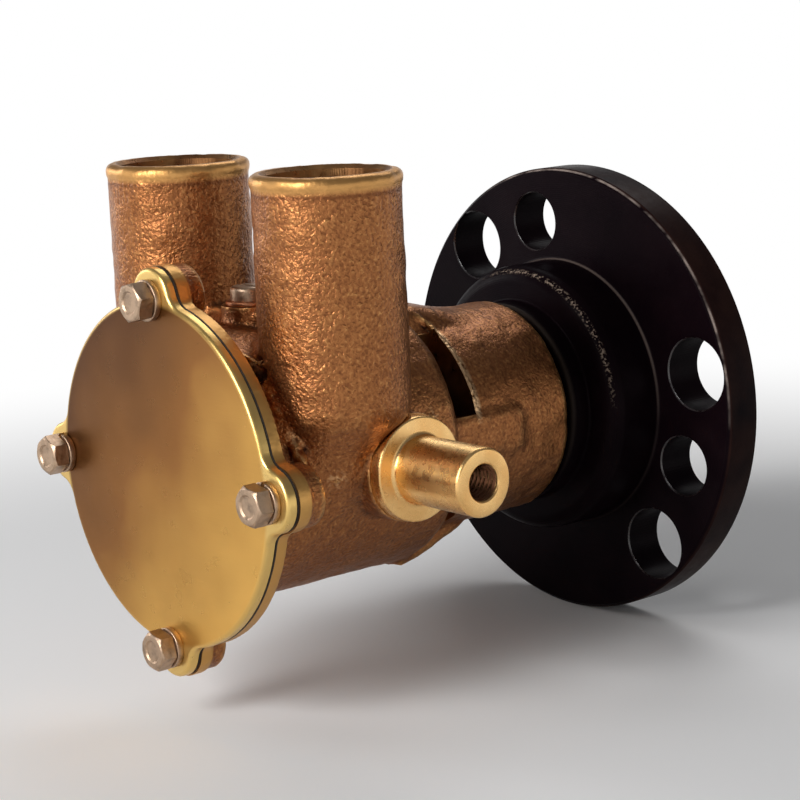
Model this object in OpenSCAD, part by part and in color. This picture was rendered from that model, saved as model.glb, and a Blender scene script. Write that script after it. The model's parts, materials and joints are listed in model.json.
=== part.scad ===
// Flexible impeller pump with two hose ports, a flange drive and a torque stud.
// The shaft lies along Y, the end cover faces -Y and the hose ports point to +Z.
// The origin is the centre of the drive flange's rear face. Lengths are millimetres.
// A station is a distance along the shaft, from the flange's rear face towards the cover.

/* [Drive flange] */
// Diameter of the drive flange
flange_d = 112.4; // [108:0.2:124]
// Thickness of the flange's plate
flange_t = 10.4; // [8:0.2:16]
// Distance from the flange's edge to the large holes' centres
large_edge = 9.7; // [9:0.1:14]
// Diameter of a large hole
large_hole_d = 17.5; // [8:0.1:18]
// Distance from the flange's edge to the small holes' centres
small_edge = 12.9; // [10:0.1:16]
// Diameter of a small hole
small_hole_d = 14.6; // [6:0.1:16]
// Distance from the large holes' centres to the boss in front of the plate
boss_room = 13.3; // [11:0.1:20]
// Length of that boss
boss_l = 15; // [10:0.5:24]
// Width of the ledge from the boss to the step that faces the bearing housing
boss_ledge = 8.4; // [5:0.1:12]
// Length of that step
step_l = 5.6; // [4:0.2:10]
// Diameter of the register recess in the rear face
register_d = 60; // [50:0.5:64]
// Depth of the register recess
register_depth = 3; // [2:0.2:4]
// Chamfer of the flange's edges and holes
flange_chamfer = 0.9; // [0.4:0.1:1.6]

/* [Shaft and bearings] */
// Shaft diameter at the impeller, the seal and the flange
shaft_d = 16; // [14:0.1:16.4]
// Bore of the ball bearings
bearing_bore_d = 17; // [16.6:0.1:17.4]
// Outer diameter of the ball bearings
bearing_d = 35; // [33:0.1:37]
// Width of one ball bearing
bearing_w = 10; // [8:0.5:14]
// Length of the rings between the two bearings
spacer_w = 2; // [1:0.5:8]
// Diameter of one bearing ball
ball_d = 4.76; // [3.8:0.02:5]
// Balls in one bearing
ball_count = 9; // [6:1:11]
// Diameter of the shaft's shoulder, which the lip seal runs on
shoulder_d = 20; // [19:0.1:22]
// Width and height of the square drive key
key_w = 5; // [4:0.5:6]

/* [Impeller and chamber] */
// Bore of the pumping chamber
chamber_d = 51; // [48:0.2:53]
// Width of the impeller
impeller_w = 32; // [28:0.5:40]
// Blades on the impeller
blade_count = 12; // [8:1:12]
// Thickness of the cam at its middle
cam_t = 3.8; // [2.6:0.1:4.2]
// Half of the angle that the cam covers
cam_half_deg = 34; // [28:1:36]
// Thickness of the wear plate
plate_t = 1.6; // [1:0.1:2.4]

/* [Pump body] */
// Outer diameter of the barrel round the chamber
barrel_d = 62; // [60:0.2:66]
// Outer diameter of the bearing housing
neck_d = 51.4; // [48:0.2:54]
// Width of the drain windows between barrel and housing
window_w = 7.6; // [5:0.2:12]
// Thickness of the wall behind the seal
seal_wall_t = 3; // [2:0.2:5]
// Length of the seal's seat bore
seat_bore_l = 7; // [6:0.2:9]
// Length of the seal's cavity
seal_cavity_l = 16; // [15:0.2:22]
// Diameter of the seal's cavity
seal_cavity_d = 32; // [30:0.2:34]

/* [End cover] */
// Diameter of the cover's disc
cover_d = 78; // [76:0.2:82]
// Thickness of the cover
cover_t = 2.5; // [1.6:0.1:4]
// Thickness of the gasket
gasket_t = 0.4; // [0.3:0.1:1.5]
// Circle that the cover screws lie on
screw_pcd = 78.3; // [77:0.1:81]
// Radius of an ear's tip
ear_r = 7; // [6:0.1:8.5]
// Radius of the hollow between an ear and the disc
ear_fillet_r = 5; // [2:0.5:8]
// Thickness of the body's rim behind the gasket
rim_t = 2.9; // [2:0.1:5]
// Length of the screw bosses behind the gasket
ear_boss_l = 7.4; // [6:0.1:12]

/* [Hose ports] */
// Outer diameter of a hose port
port_d = 32.6; // [30:0.2:33.4]
// Bore of a hose port
port_bore_d = 27; // [22:0.2:27.4]
// Distance of a port's axis from the shaft's axis
port_x = 27.6; // [27:0.1:30]
// Height of the ports' tops above the shaft's axis
port_top = 65.8; // [52:0.2:90]
// Height of the ports' rounded lower ends
port_floor = 9.5; // [8:0.1:12]
// Height of the bead round a port's mouth
bead_h = 4.4; // [3:0.1:6]
// How far the bead stands out
bead_out = 0.4; // [0.2:0.1:1.6]

/* [Torque stud] */
// Diameter of the stud
stud_d = 15.2; // [13:0.1:17]
// Diameter of its collar
collar_d = 23.4; // [20:0.1:24]
// Thickness of the collar
collar_t = 3; // [2:0.1:5]
// Length of the stud beyond its collar
stud_l = 20.7; // [12:0.1:40]
// Distance of the collar's seat from the shaft's axis
lug_x = 37.4; // [35:0.1:42]
// Diameter of the stud's threaded hole
stud_hole_d = 6.8; // [5:0.1:8]
// Depth of the stud's threaded hole
stud_hole_depth = 15; // [8:0.5:15]

/* [Fasteners] */
// Thread diameter of the cover screws
screw_d = 5; // [4:0.1:5.4]
// Width across the flats of their heads
screw_flats = 8; // [7:0.1:9]
// Height of their heads
screw_head_h = 4; // [2.5:0.1:5]
// Thickness of the lock washers
washer_t = 1.5; // [0.8:0.1:2]
// Thread diameter of the flange bolt
bolt_d = 8; // [6:0.1:8.4]
// Width across the flats of the flange bolt
bolt_flats = 13; // [12:0.1:14]
// Height of the flange bolt's head
bolt_head_h = 5.3; // [4:0.1:7]

/* [Hidden] */
$fn = 96;

// Overrun of every cut, and the gap of a push fit
cut = 1;
fit = 0.02;
// Running gaps: the seal's film, the shaft in its lip, the blades' tips and sides
film = 0.05;
lip_gap = 0.05;
blade_gap = 0.3;

// Radii
flange_r = flange_d / 2;
large_circle_r = flange_r - large_edge;
small_circle_r = flange_r - small_edge;
boss_r = large_circle_r - boss_room;
step_r = boss_r - boss_ledge;
shaft_r = shaft_d / 2;
bearing_bore_r = bearing_bore_d / 2;
bearing_r = bearing_d / 2;
ball_r = ball_d / 2;
shoulder_r = shoulder_d / 2;
chamber_r = chamber_d / 2;
barrel_r = barrel_d / 2;
neck_r = neck_d / 2;
cavity_r = seal_cavity_d / 2;
cover_r = cover_d / 2;
screw_circle_r = screw_pcd / 2;
port_r = port_d / 2;
port_bore_r = port_bore_d / 2;
stud_r = stud_d / 2;
collar_r = collar_d / 2;

// Drive flange details
boss_edge_r = 4;
boss_root_r = 1.6;
step_edge = 0.8;
bolt_space_d = 40;
head_clear = 0.7;
flange_washer_d = 30;
flange_washer_t = 3;
shaft_end_gap = 1;
hole_turn_deg = 11.3;
hole_step_deg = 120;
small_lead_deg = 90;
// Bearing housing details
end_gap = 2.4;
clip_inset = 1.6;
clip_t = 1.5;
clip_groove = 1.2;
clip_reach = 2.6;
shaft_clip_t = 1;
shaft_clip_groove = 0.5;
shaft_clip_reach = 2;
clip_mouth_deg = 24;
clip_eye_r = 1.9;
clip_eye_hole_r = 0.8;
shaft_clip_eye_r = 1.3;
shaft_clip_eye_hole_r = 0.6;
lip_room = 4.2;
lip_seal_w = 4;
lip_bore_room = 5;
lip_bore_r = shoulder_r + lip_bore_room;
lip_case_t = 0.9;
lip_edge_t = 1.2;
housing_edge = 1.4;
drain_over = 1;
drain_r = cavity_r + drain_over;
shoulder_run = 0.8;
// Stations along the shaft
s_flange = flange_t;
s_boss = s_flange + boss_l;
s_step = s_boss + step_l;
s_house = s_step + end_gap;
s_clip = s_house + clip_inset;
s_rear_bearing = s_clip + clip_t;
s_spacer = s_rear_bearing + bearing_w;
s_front_bearing = s_spacer + spacer_w;
s_shoulder = s_front_bearing + bearing_w;
s_window = s_shoulder + lip_room;
s_barrel = s_window + window_w;
s_seat = s_barrel + seal_wall_t;
s_cavity = s_seat + seat_bore_l;
s_floor = s_cavity + seal_cavity_l;
s_plate = s_floor + plate_t;
s_face = s_plate + impeller_w + 2 * blade_gap;
s_cover = s_face + gasket_t;
s_front = s_cover + cover_t;
// The flange bolt's recess and the shaft's ends
s_head = register_depth + head_clear;
s_washer = s_head + bolt_head_h;
s_recess = s_washer + flange_washer_t;
s_tail = s_recess + shaft_end_gap;
nose_gap = 3;
s_nose = s_face - nose_gap;
seat_end_gap = 0.4;
s_thick = s_step + seat_end_gap;
// Body details
barrel_edge_r = 5;
ear_boss_edge = 0.6;
ear_blend = 0.05;
tap_end = 1;
pocket_in = 0.5;
pocket_edge_r = 4;
port_edge_r = 6.5;
port_wall = port_r - port_bore_r;
roof_over = 1.5;
foot_in = 5.6;
foot_drop = 3.5;
foot_out = 12.5;
foot_side = 14;
foot_h = 12;
port_back = 25.7;
s_port = s_face - port_back;
window_low_deg = 12;
window_high_deg = 64;
window_under_deg = [-58, -15];
top_web_w = 22;
top_web_l = 18.5;
top_web_sink = 0.5;
under_web_w = 22;
under_web_l = 6;
under_web_on = 1;
side_pad_h = 10;
side_pad_out = 0.25;
side_pad_l = 14.5;
land_w = 26;
land_l = 14;
land_rise = 2.6;
cam_boss_r = 6.4;
cam_boss_rise = 3.8;
cam_screw_lead = 1.8;
land_back = 10.6;
stud_back = 3.6;
s_cam_screw = s_port + cam_screw_lead;
s_land = s_cam_screw - land_back;
s_stud = s_floor - stud_back;
lug_sink = 12;
stud_shank_r = 5;
stud_shank_l = 8.2;
stud_hole_end = 0.4;
stud_edge = 0.7;
stud_mouth = 0.9;
// Cam and its screw
cam_fit = 0.1;
cam_screw_r = 2.5;
cam_hole_gap = 0.25;
cam_screw_in = 3;
cam_washer_r = 5.4;
cam_washer_t = 1;
cam_head_r = 4.3;
cam_head_h = 3.2;
cam_head_edge = 0.8;
cam_slot_w = 1.2;
cam_slot_depth = 1.4;
// Impeller
hub_wall = 2.2;
insert_wall = 2.5;
insert_r = shaft_r + insert_wall;
hub_r = insert_r + hub_wall;
bead_r = 1.35;
blade_root_t = 3.4;
blade_tip_t = 1.7;
blade_root_in = 0.8;
blade_parts = 12;
blade_turn_deg = 15;
lean_step_deg = 2;
lean_max_deg = 150;
flat_cut = 1.5;
// Seal
seat_cup_t = 1.4;
seat_gap = 0.6;
seat_proud = 0.5;
face_t = 4.4;
face_out = 3.4;
bellows_t = 1.6;
bellows_ring_r = 0.9;
bellows_rings = 3;
retainer_t = 1.7;
spring_wire_r = 0.8;
spring_turns = 4;
spring_ring = 16;
spring_sides = 6;
spring_gap = 0.25;
slinger_w = 3;
slinger_out = 4.6;
slinger_lip = 1;
// Fastener details
screw_hole_gap = 0.25;
lock_washer_out = 2.1;
lock_slit = 1;
head_chamfer = 0.5;
key_gap = 0.1;
key_l = 14;
bolt_l = 18;
tap_over = 2;
race_lap = 0.5;
race_gap = 0.07;
cage_t = 1.2;
cage_over = 0.7;
cage_play = 0.2;

// Turns a shape drawn in the X and Z directions to face the cover, at a station
module at_station(s) {
    translate([0, -s, 0]) rotate([90, 0, 0]) children();
}

module disc(r, s0, s1) {
    at_station(s0) cylinder(h = s1 - s0, r = r);
}

module ring(r_out, r_in, s0, s1) {
    at_station(s0) difference() {
        cylinder(h = s1 - s0, r = r_out);
        translate([0, 0, -cut]) cylinder(h = s1 - s0 + 2 * cut, r = r_in);
    }
}

// A cylinder whose lower edge is rounded
module round_foot(r, h, edge) {
    rotate_extrude() {
        square([r - edge, h]);
        translate([0, edge]) square([r, h - edge]);
        intersection() {
            translate([r - edge, edge]) circle(r = edge);
            square([r, h]);
        }
    }
}

// A cylinder with a chamfer round its lower edge and its upper edge
module chamfered(r, h, low, high) {
    rotate_extrude() polygon([
        [0, 0], [r - low, 0], [r, low], [r, h - high], [r - high, h], [0, h]
    ]);
}

// Outline shared by the cover, its gasket and the body's rim
ear_side = cover_r + ear_fillet_r - ear_blend;
ear_reach = ear_r + ear_fillet_r - ear_blend;
ear_turn = acos((pow(ear_side, 2) + pow(screw_circle_r, 2) - pow(ear_reach, 2))
    / (2 * ear_side * screw_circle_r));

module cover_outline() {
    circle(r = cover_r);
    for (turn = [0:90:270]) rotate(turn) {
        translate([screw_circle_r, 0]) circle(r = ear_r);
        difference() {
            polygon([
                [0, 0],
                ear_side * [cos(ear_turn), -sin(ear_turn)],
                [screw_circle_r, 0],
                ear_side * [cos(ear_turn), sin(ear_turn)]
            ]);
            for (side = [-1, 1]) rotate(side * ear_turn) translate([ear_side, 0])
                circle(r = ear_fillet_r);
        }
    }
}

module at_ears() {
    for (turn = [0:90:270]) rotate(turn) translate([screw_circle_r, 0, 0]) children();
}

// One port's outside, with the bead round its mouth
module port_outside() {
    translate([port_x, -s_port, port_floor]) {
        round_foot(port_r, port_top - port_floor - bead_h / 2, port_edge_r);
        translate([0, 0, port_top - port_floor - bead_h]) rotate_extrude() {
            square([port_r + bead_out - bead_h / 2, bead_h]);
            translate([port_r + bead_out - bead_h / 2, bead_h / 2]) circle(r = bead_h / 2);
        }
    }
    translate([port_x - foot_in, -s_port, port_floor - foot_drop])
        scale([foot_out, foot_side, foot_h]) sphere(r = 1);
}

// One port's passage: a bored mouth, and a pocket that opens into the chamber
// in front of the wear plate
module port_passage() {
    mouth_floor = chamber_r + roof_over;
    pocket_floor = port_floor + port_wall;
    translate([port_x, -s_port, mouth_floor])
        cylinder(h = port_top - mouth_floor + cut, r = port_bore_r);
    difference() {
        translate([port_x, -s_port, pocket_floor])
            round_foot(port_bore_r - pocket_in, mouth_floor - pocket_floor + cut, pocket_edge_r);
        translate([0, -s_plate, 0])
            cube([2 * port_x + port_r, s_plate, mouth_floor + 2 * cut]);
    }
}

module drain_window(from_deg, to_deg) {
    at_station(s_window) rotate(from_deg) rotate_extrude(angle = to_deg - from_deg)
        translate([drain_r - cut, 0]) square([barrel_r - drain_r + 2 * cut, window_w]);
}

// A web between the bearing housing and the barrel; side is 1 above and -1 below
module web(side, width, s_low, s_high) {
    rotate([90, 0, 90]) translate([0, 0, -width / 2]) linear_extrude(width) polygon([
        [-s_low, 0],
        [-s_low, side * (neck_r - top_web_sink)],
        [-s_high, side * barrel_r],
        [-s_barrel - barrel_edge_r, side * barrel_r],
        [-s_barrel - barrel_edge_r, 0]
    ]);
}

module body_casting() {
    at_station(s_barrel) round_foot(barrel_r, s_face - s_barrel, barrel_edge_r);
    at_station(s_house) chamfered(neck_r, s_seat - s_house, housing_edge, 0);
    at_station(s_face - rim_t) linear_extrude(rim_t) cover_outline();
    at_station(s_face - ear_boss_l) at_ears()
        chamfered(ear_r, ear_boss_l, ear_boss_edge, 0);
    web(1, top_web_w, s_window - top_web_l, s_window);
    web(-1, under_web_w, s_window - under_web_l, s_barrel + under_web_on);
    translate([-neck_r - side_pad_out, -s_seat, -side_pad_h / 2])
        cube([2 * (neck_r + side_pad_out), s_seat - s_window + side_pad_l, side_pad_h]);
    for (side = [0, 1]) mirror([side, 0, 0]) port_outside();
    translate([-land_w / 2, -s_land - land_l, 0]) cube([land_w, land_l, barrel_r + land_rise]);
    translate([0, -s_cam_screw, 0]) cylinder(h = barrel_r + cam_boss_rise, r = cam_boss_r);
    translate([lug_x - lug_sink, -s_stud, 0]) rotate([0, 90, 0])
        cylinder(h = lug_sink, r = collar_r + stud_hole_end);
}

module pump_body() color([0.62, 0.36, 0.20]) difference() {
    body_casting();
    disc(chamber_r, s_floor, s_face + cut);
    disc(cavity_r, s_cavity, s_floor + cut);
    disc(shaft_r + seat_gap + seat_cup_t + face_out, s_seat, s_cavity + cut);
    disc(shoulder_r, s_barrel - cut, s_seat + cut);
    disc(drain_r, s_window, s_barrel);
    disc(lip_bore_r, s_shoulder - cut, s_window + cut);
    disc(bearing_r, s_house - cut, s_shoulder);
    disc(bearing_r + clip_groove, s_clip, s_clip + clip_t);
    for (side = [0, 1]) mirror([side, 0, 0]) {
        port_passage();
        drain_window(window_low_deg, window_high_deg);
        drain_window(window_under_deg[0], window_under_deg[1]);
    }
    at_station(s_face - ear_boss_l + tap_end) at_ears()
        cylinder(h = ear_boss_l, r = screw_d / 2);
    translate([0, -s_cam_screw, 0])
        cylinder(h = barrel_r + cam_boss_rise + cut, r = cam_screw_r + cam_hole_gap);
    translate([lug_x - stud_shank_l - stud_hole_end, -s_stud, 0]) rotate([0, 90, 0])
        cylinder(h = stud_shank_l + stud_hole_end + cut, r = stud_shank_r);
    translate([lug_x, -s_stud, 0]) rotate([0, 90, 0])
        cylinder(h = collar_t + port_r, r = collar_r + stud_hole_end);
}

module end_cover() color([0.80, 0.62, 0.30]) at_station(s_cover) difference() {
    linear_extrude(cover_t) cover_outline();
    translate([0, 0, -cut]) at_ears()
        cylinder(h = cover_t + 2 * cut, r = screw_d / 2 + screw_hole_gap);
}

module cover_gasket() color([0.18, 0.16, 0.14]) at_station(s_face) difference() {
    linear_extrude(gasket_t) cover_outline();
    translate([0, 0, -cut]) cylinder(h = gasket_t + 2 * cut, r = chamber_r + screw_hole_gap);
    translate([0, 0, -cut]) at_ears()
        cylinder(h = gasket_t + 2 * cut, r = screw_d / 2 + screw_hole_gap);
}

// A hexagon head with its outer corners turned off
module hex_head(flats, h) {
    intersection() {
        cylinder(h = h, r = flats / sqrt(3), $fn = 6);
        chamfered(flats / sqrt(3), h, 0, head_chamfer);
    }
}

module cover_screws() color([0.72, 0.70, 0.66]) at_station(s_front + washer_t) at_ears() {
    screw_l = washer_t + cover_t + gasket_t + ear_boss_l - tap_end - stud_hole_end;
    hex_head(screw_flats, screw_head_h);
    translate([0, 0, -screw_l]) cylinder(h = screw_l, r = screw_d / 2 - fit);
}

module cover_lock_washers() color([0.66, 0.65, 0.62]) at_station(s_front) at_ears()
    difference() {
        cylinder(h = washer_t, r = screw_d / 2 + lock_washer_out);
        translate([0, 0, -cut])
            cylinder(h = washer_t + 2 * cut, r = screw_d / 2 + screw_hole_gap);
        translate([0, -lock_slit / 2, -cut])
            cube([screw_d + lock_washer_out, lock_slit, washer_t + 2 * cut]);
    }

// The cam's inner face is an arc through its middle and its two thin ends
cam_end = chamber_r * [sin(cam_half_deg), cos(cam_half_deg)];
cam_mid_z = chamber_r - cam_t;
cam_sag = cam_mid_z - cam_end[1];
cam_face_r = (pow(cam_end[0], 2) + pow(cam_sag, 2)) / (2 * cam_sag);
function cam_face_z(x) = cam_mid_z - cam_face_r + sqrt(pow(cam_face_r, 2) - pow(x, 2));

module cam() color([0.70, 0.52, 0.26]) difference() {
    at_station(s_plate + cam_fit) linear_extrude(s_face - s_plate - 2 * cam_fit)
        difference() {
            circle(r = chamber_r - fit);
            translate([0, cam_mid_z - cam_face_r]) circle(r = cam_face_r, $fn = 960);
        }
    translate([0, -s_cam_screw, 0]) cylinder(h = barrel_r, r = cam_screw_r);
}

cam_seat_z = barrel_r + cam_boss_rise;

module cam_screw() color([0.72, 0.70, 0.66]) translate([0, -s_cam_screw, cam_seat_z + cam_washer_t])
    difference() {
        union() {
            chamfered(cam_head_r, cam_head_h, 0, cam_head_edge);
            screw_l = cam_seat_z + cam_washer_t - cam_mid_z - cam_t + cam_screw_in;
            translate([0, 0, -screw_l]) cylinder(h = screw_l, r = cam_screw_r - fit);
        }
        translate([-cam_head_r - cut, -cam_slot_w / 2, cam_head_h - cam_slot_depth])
            cube([2 * (cam_head_r + cut), cam_slot_w, cam_slot_depth + cut]);
    }

module cam_screw_washer() color([0.70, 0.40, 0.25]) translate([0, -s_cam_screw, cam_seat_z])
    difference() {
        cylinder(h = cam_washer_t, r = cam_washer_r);
        translate([0, 0, -cut])
            cylinder(h = cam_washer_t + 2 * cut, r = cam_screw_r + cam_hole_gap);
    }

module wear_plate() color([0.74, 0.72, 0.68])
    ring(chamber_r - fit, cavity_r - seat_gap, s_floor, s_plate);

module torque_stud() color([0.84, 0.64, 0.30]) translate([lug_x, -s_stud, 0]) rotate([0, 90, 0])
    difference() {
        union() {
            translate([0, 0, -stud_shank_l])
                cylinder(h = stud_shank_l + collar_t, r = stud_shank_r - fit);
            chamfered(collar_r, collar_t, 0, stud_edge / 2);
            chamfered(stud_r, collar_t + stud_l, 0, stud_edge);
        }
        translate([0, 0, collar_t + stud_l - stud_hole_depth])
            cylinder(h = stud_hole_depth + cut, r = stud_hole_d / 2);
        translate([0, 0, collar_t + stud_l - stud_mouth])
            cylinder(h = stud_mouth, r1 = stud_hole_d / 2, r2 = stud_hole_d / 2 + stud_mouth);
    }

// Mechanical seal: a fixed seat in a rubber cup, and a face, bellows and spring that turn
seat_in_r = shaft_r + seat_gap;
seat_out_r = seat_in_r + face_out;
cup_out_r = seat_out_r + seat_cup_t;

module seal_seat_cup() color([0.12, 0.12, 0.13]) {
    ring(cup_out_r - fit, seat_out_r, s_seat, s_cavity);
    ring(seat_out_r, shoulder_r + seat_gap, s_seat, s_seat + seat_cup_t);
}

module seal_seat() color([0.88, 0.86, 0.80])
    ring(seat_out_r - fit, seat_in_r, s_seat + seat_cup_t, s_cavity + seat_proud);

s_seal_face = s_cavity + seat_proud + film;
s_bellows = s_seal_face + face_t;
s_retainer = s_plate + blade_gap - retainer_t;
bellows_r = shaft_r + bellows_t;
spring_in_r = (bellows_r + bellows_ring_r + spring_gap) / cos(180 / spring_ring);
spring_r = spring_in_r + spring_wire_r;

module seal_face() color([0.16, 0.16, 0.17])
    ring(seat_out_r, seat_in_r, s_seal_face, s_bellows);

module seal_bellows() color([0.10, 0.10, 0.11]) {
    bellows_l = s_retainer - s_bellows;
    at_station(s_bellows) difference() {
        union() {
            cylinder(h = bellows_l, r = bellows_r);
            for (i = [1:bellows_rings]) rotate_extrude()
                translate([bellows_r, i * bellows_l / (bellows_rings + 1)])
                    circle(r = bellows_ring_r);
        }
        translate([0, 0, -cut]) cylinder(h = bellows_l + 2 * cut, r = shaft_r + fit);
    }
}

module seal_retainer() color([0.74, 0.74, 0.74])
    ring(spring_r + spring_wire_r, shaft_r + fit, s_retainer, s_retainer + retainer_t);

// The spring is one wire swept along its coil, closed by a cap at each end
spring_l = s_retainer - s_bellows - 2 * (spring_wire_r + film);
spring_steps = spring_turns * spring_ring;
function spring_point(i, k) =
    let (turn = 360 * i / spring_ring, side = 360 * k / spring_sides)
    let (r = spring_r + spring_wire_r * cos(side))
    [r * cos(turn), r * sin(turn), spring_l * i / spring_steps + spring_wire_r * sin(side)];

module seal_spring() color([0.70, 0.70, 0.72]) at_station(s_bellows + spring_wire_r + film)
    polyhedron(
        points = [
            for (i = [0:spring_steps]) for (k = [0:spring_sides - 1]) spring_point(i, k)
        ],
        faces = concat(
            [[for (k = [0:spring_sides - 1]) k]],
            [
                for (i = [0:spring_steps - 1]) for (k = [0:spring_sides - 1])
                    for (half = [0, 1])
                        let (a = i * spring_sides + k)
                        let (b = i * spring_sides + (k + 1) % spring_sides)
                        half == 0
                            ? [a, a + spring_sides, b + spring_sides]
                            : [a, b + spring_sides, b]
            ],
            [[for (k = [0:spring_sides - 1]) (spring_steps + 1) * spring_sides - 1 - k]]
        )
    );

module slinger() color([0.10, 0.10, 0.11]) {
    s_slinger = (s_window + s_barrel - slinger_w) / 2;
    at_station(s_slinger) rotate_extrude() polygon([
        [shaft_r + fit, 0],
        [shaft_r + slinger_out, 0],
        [shaft_r + slinger_out, slinger_lip],
        [shaft_r + slinger_out / 2, slinger_w],
        [shaft_r + fit, slinger_w]
    ]);
}

module lip_seal() color([0.14, 0.14, 0.15]) {
    s_lip = s_window - lip_seal_w;
    at_station(s_lip) rotate_extrude() polygon([
        [lip_bore_r - fit, 0],
        [lip_bore_r - fit, lip_seal_w],
        [lip_bore_r - lip_case_t, lip_seal_w],
        [lip_bore_r - lip_case_t, lip_edge_t],
        [shoulder_r + lip_edge_t, lip_edge_t],
        [shoulder_r + lip_edge_t, lip_seal_w - lip_edge_t],
        [shoulder_r + lip_gap, lip_seal_w - lip_edge_t],
        [shoulder_r + lip_gap, lip_edge_t],
        [shoulder_r + lip_edge_t, 0]
    ]);
}

// A spring ring with an open mouth, and an eye for the pliers at each of its ends
module circlip(r_in, r_out, eye_r, eye_hole_r, t, eye_at) {
    difference() {
        union() {
            difference() {
                cylinder(h = t, r = r_out);
                translate([0, 0, -cut]) cylinder(h = t + 2 * cut, r = r_in);
                translate([0, 0, -cut]) rotate(-clip_mouth_deg)
                    rotate_extrude(angle = 2 * clip_mouth_deg) square([r_out + cut, t + 2 * cut]);
            }
            for (side = [-1, 1]) rotate(side * clip_mouth_deg) translate([eye_at, 0, 0])
                cylinder(h = t, r = eye_r);
        }
        for (side = [-1, 1]) rotate(side * clip_mouth_deg) translate([eye_at, 0, -cut])
            cylinder(h = t + 2 * cut, r = eye_hole_r);
    }
}

module housing_circlip() color([0.30, 0.30, 0.32]) {
    clip_out = bearing_r + clip_groove - cam_fit;
    clip_in = bearing_r - clip_reach;
    at_station(s_clip + fit) circlip(
        clip_in, clip_out, clip_eye_r, clip_eye_hole_r, clip_t - 2 * fit, clip_in + clip_eye_r / 2
    );
}

shaft_groove_r = bearing_bore_r - shaft_clip_groove;

module shaft_circlip() color([0.30, 0.30, 0.32]) at_station(s_rear_bearing - shaft_clip_t)
    rotate(180) circlip(
        shaft_groove_r + fit, shaft_groove_r + shaft_clip_reach, shaft_clip_eye_r,
        shaft_clip_eye_hole_r, shaft_clip_t - fit, shaft_groove_r + shaft_clip_reach
    );

// Ball bearings: each race has a groove for the balls, which a cage holds apart
ball_circle_r = (bearing_r + bearing_bore_r) / 2;
groove_r = ball_r + race_gap;

module race_groove() {
    translate([0, 0, bearing_w / 2]) rotate_extrude() translate([ball_circle_r, 0])
        circle(r = groove_r);
}

module outer_race(s) {
    at_station(s) difference() {
        cylinder(h = bearing_w, r = bearing_r - fit);
        translate([0, 0, -cut])
            cylinder(h = bearing_w + 2 * cut, r = ball_circle_r + ball_r - race_lap - cage_over);
        race_groove();
    }
}

module inner_race(s) {
    at_station(s) difference() {
        cylinder(h = bearing_w, r = ball_circle_r - ball_r + race_lap + cage_over);
        translate([0, 0, -cut]) cylinder(h = bearing_w + 2 * cut, r = bearing_bore_r + fit);
        race_groove();
    }
}

module at_balls() {
    for (i = [0:ball_count - 1]) rotate(360 * i / ball_count)
        translate([ball_circle_r, 0, bearing_w / 2]) children();
}

module balls(s) {
    at_station(s) at_balls() sphere(r = ball_r);
}

module cage(s) {
    cage_w = ball_d + 2 * cage_over;
    at_station(s) difference() {
        translate([0, 0, (bearing_w - cage_w) / 2]) difference() {
            cylinder(h = cage_w, r = ball_circle_r + cage_t / 2);
            translate([0, 0, -cut])
                cylinder(h = cage_w + 2 * cut, r = ball_circle_r - cage_t / 2);
        }
        at_balls() rotate([0, 90, 0])
            cylinder(h = 2 * cage_t, r = ball_r + cage_play, center = true);
    }
}

race_color = [0.66, 0.67, 0.70];
ball_color = [0.80, 0.80, 0.82];
cage_color = [0.62, 0.50, 0.28];

module front_bearing_outer_race() color(race_color) outer_race(s_front_bearing);

module rear_bearing_outer_race() color(race_color) outer_race(s_rear_bearing);

module front_bearing_inner_race() color(race_color) inner_race(s_front_bearing);

module rear_bearing_inner_race() color(race_color) inner_race(s_rear_bearing);

module front_bearing_balls() color(ball_color) balls(s_front_bearing);

module rear_bearing_balls() color(ball_color) balls(s_rear_bearing);

module front_bearing_cage() color(cage_color) cage(s_front_bearing);

module rear_bearing_cage() color(cage_color) cage(s_rear_bearing);

spacer_t = 2.4;

module outer_spacer_ring() color(race_color)
    ring(bearing_r - fit, bearing_r - spacer_t, s_spacer, s_front_bearing);

module inner_spacer_ring() color(race_color)
    ring(bearing_bore_r + spacer_t, bearing_bore_r + fit, s_spacer, s_front_bearing);

// Section of the shaft's nose, which has two flats
module nose_section(r) {
    intersection() {
        circle(r = r);
        square([2 * r, 2 * (r - flat_cut)], center = true);
    }
}

key_top = shaft_r + key_w / 2 - key_gap;
s_key = s_step - key_l - shaft_end_gap;

module shaft() color([0.66, 0.67, 0.69]) difference() {
    union() {
        disc(shaft_r, s_tail, s_thick);
        disc(bearing_bore_r, s_thick, s_shoulder);
        disc(shoulder_r, s_shoulder, s_window + shoulder_run);
        disc(shaft_r, s_window + shoulder_run, s_plate);
        at_station(s_plate) linear_extrude(s_nose - s_plate) nose_section(shaft_r);
    }
    disc(bolt_d / 2, s_tail - cut, s_tail + bolt_l + tap_over);
    ring(shoulder_r, shaft_groove_r, s_rear_bearing - shaft_clip_t, s_rear_bearing);
    translate([-key_w / 2, -s_key - key_l, key_top - key_w]) cube([key_w, key_l, key_w]);
}

module drive_key() color([0.45, 0.45, 0.47])
    translate([fit - key_w / 2, fit - s_key - key_l, key_top - key_w + fit])
        cube([key_w - 2 * fit, key_l - 2 * fit, key_w - fit]);

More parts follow.
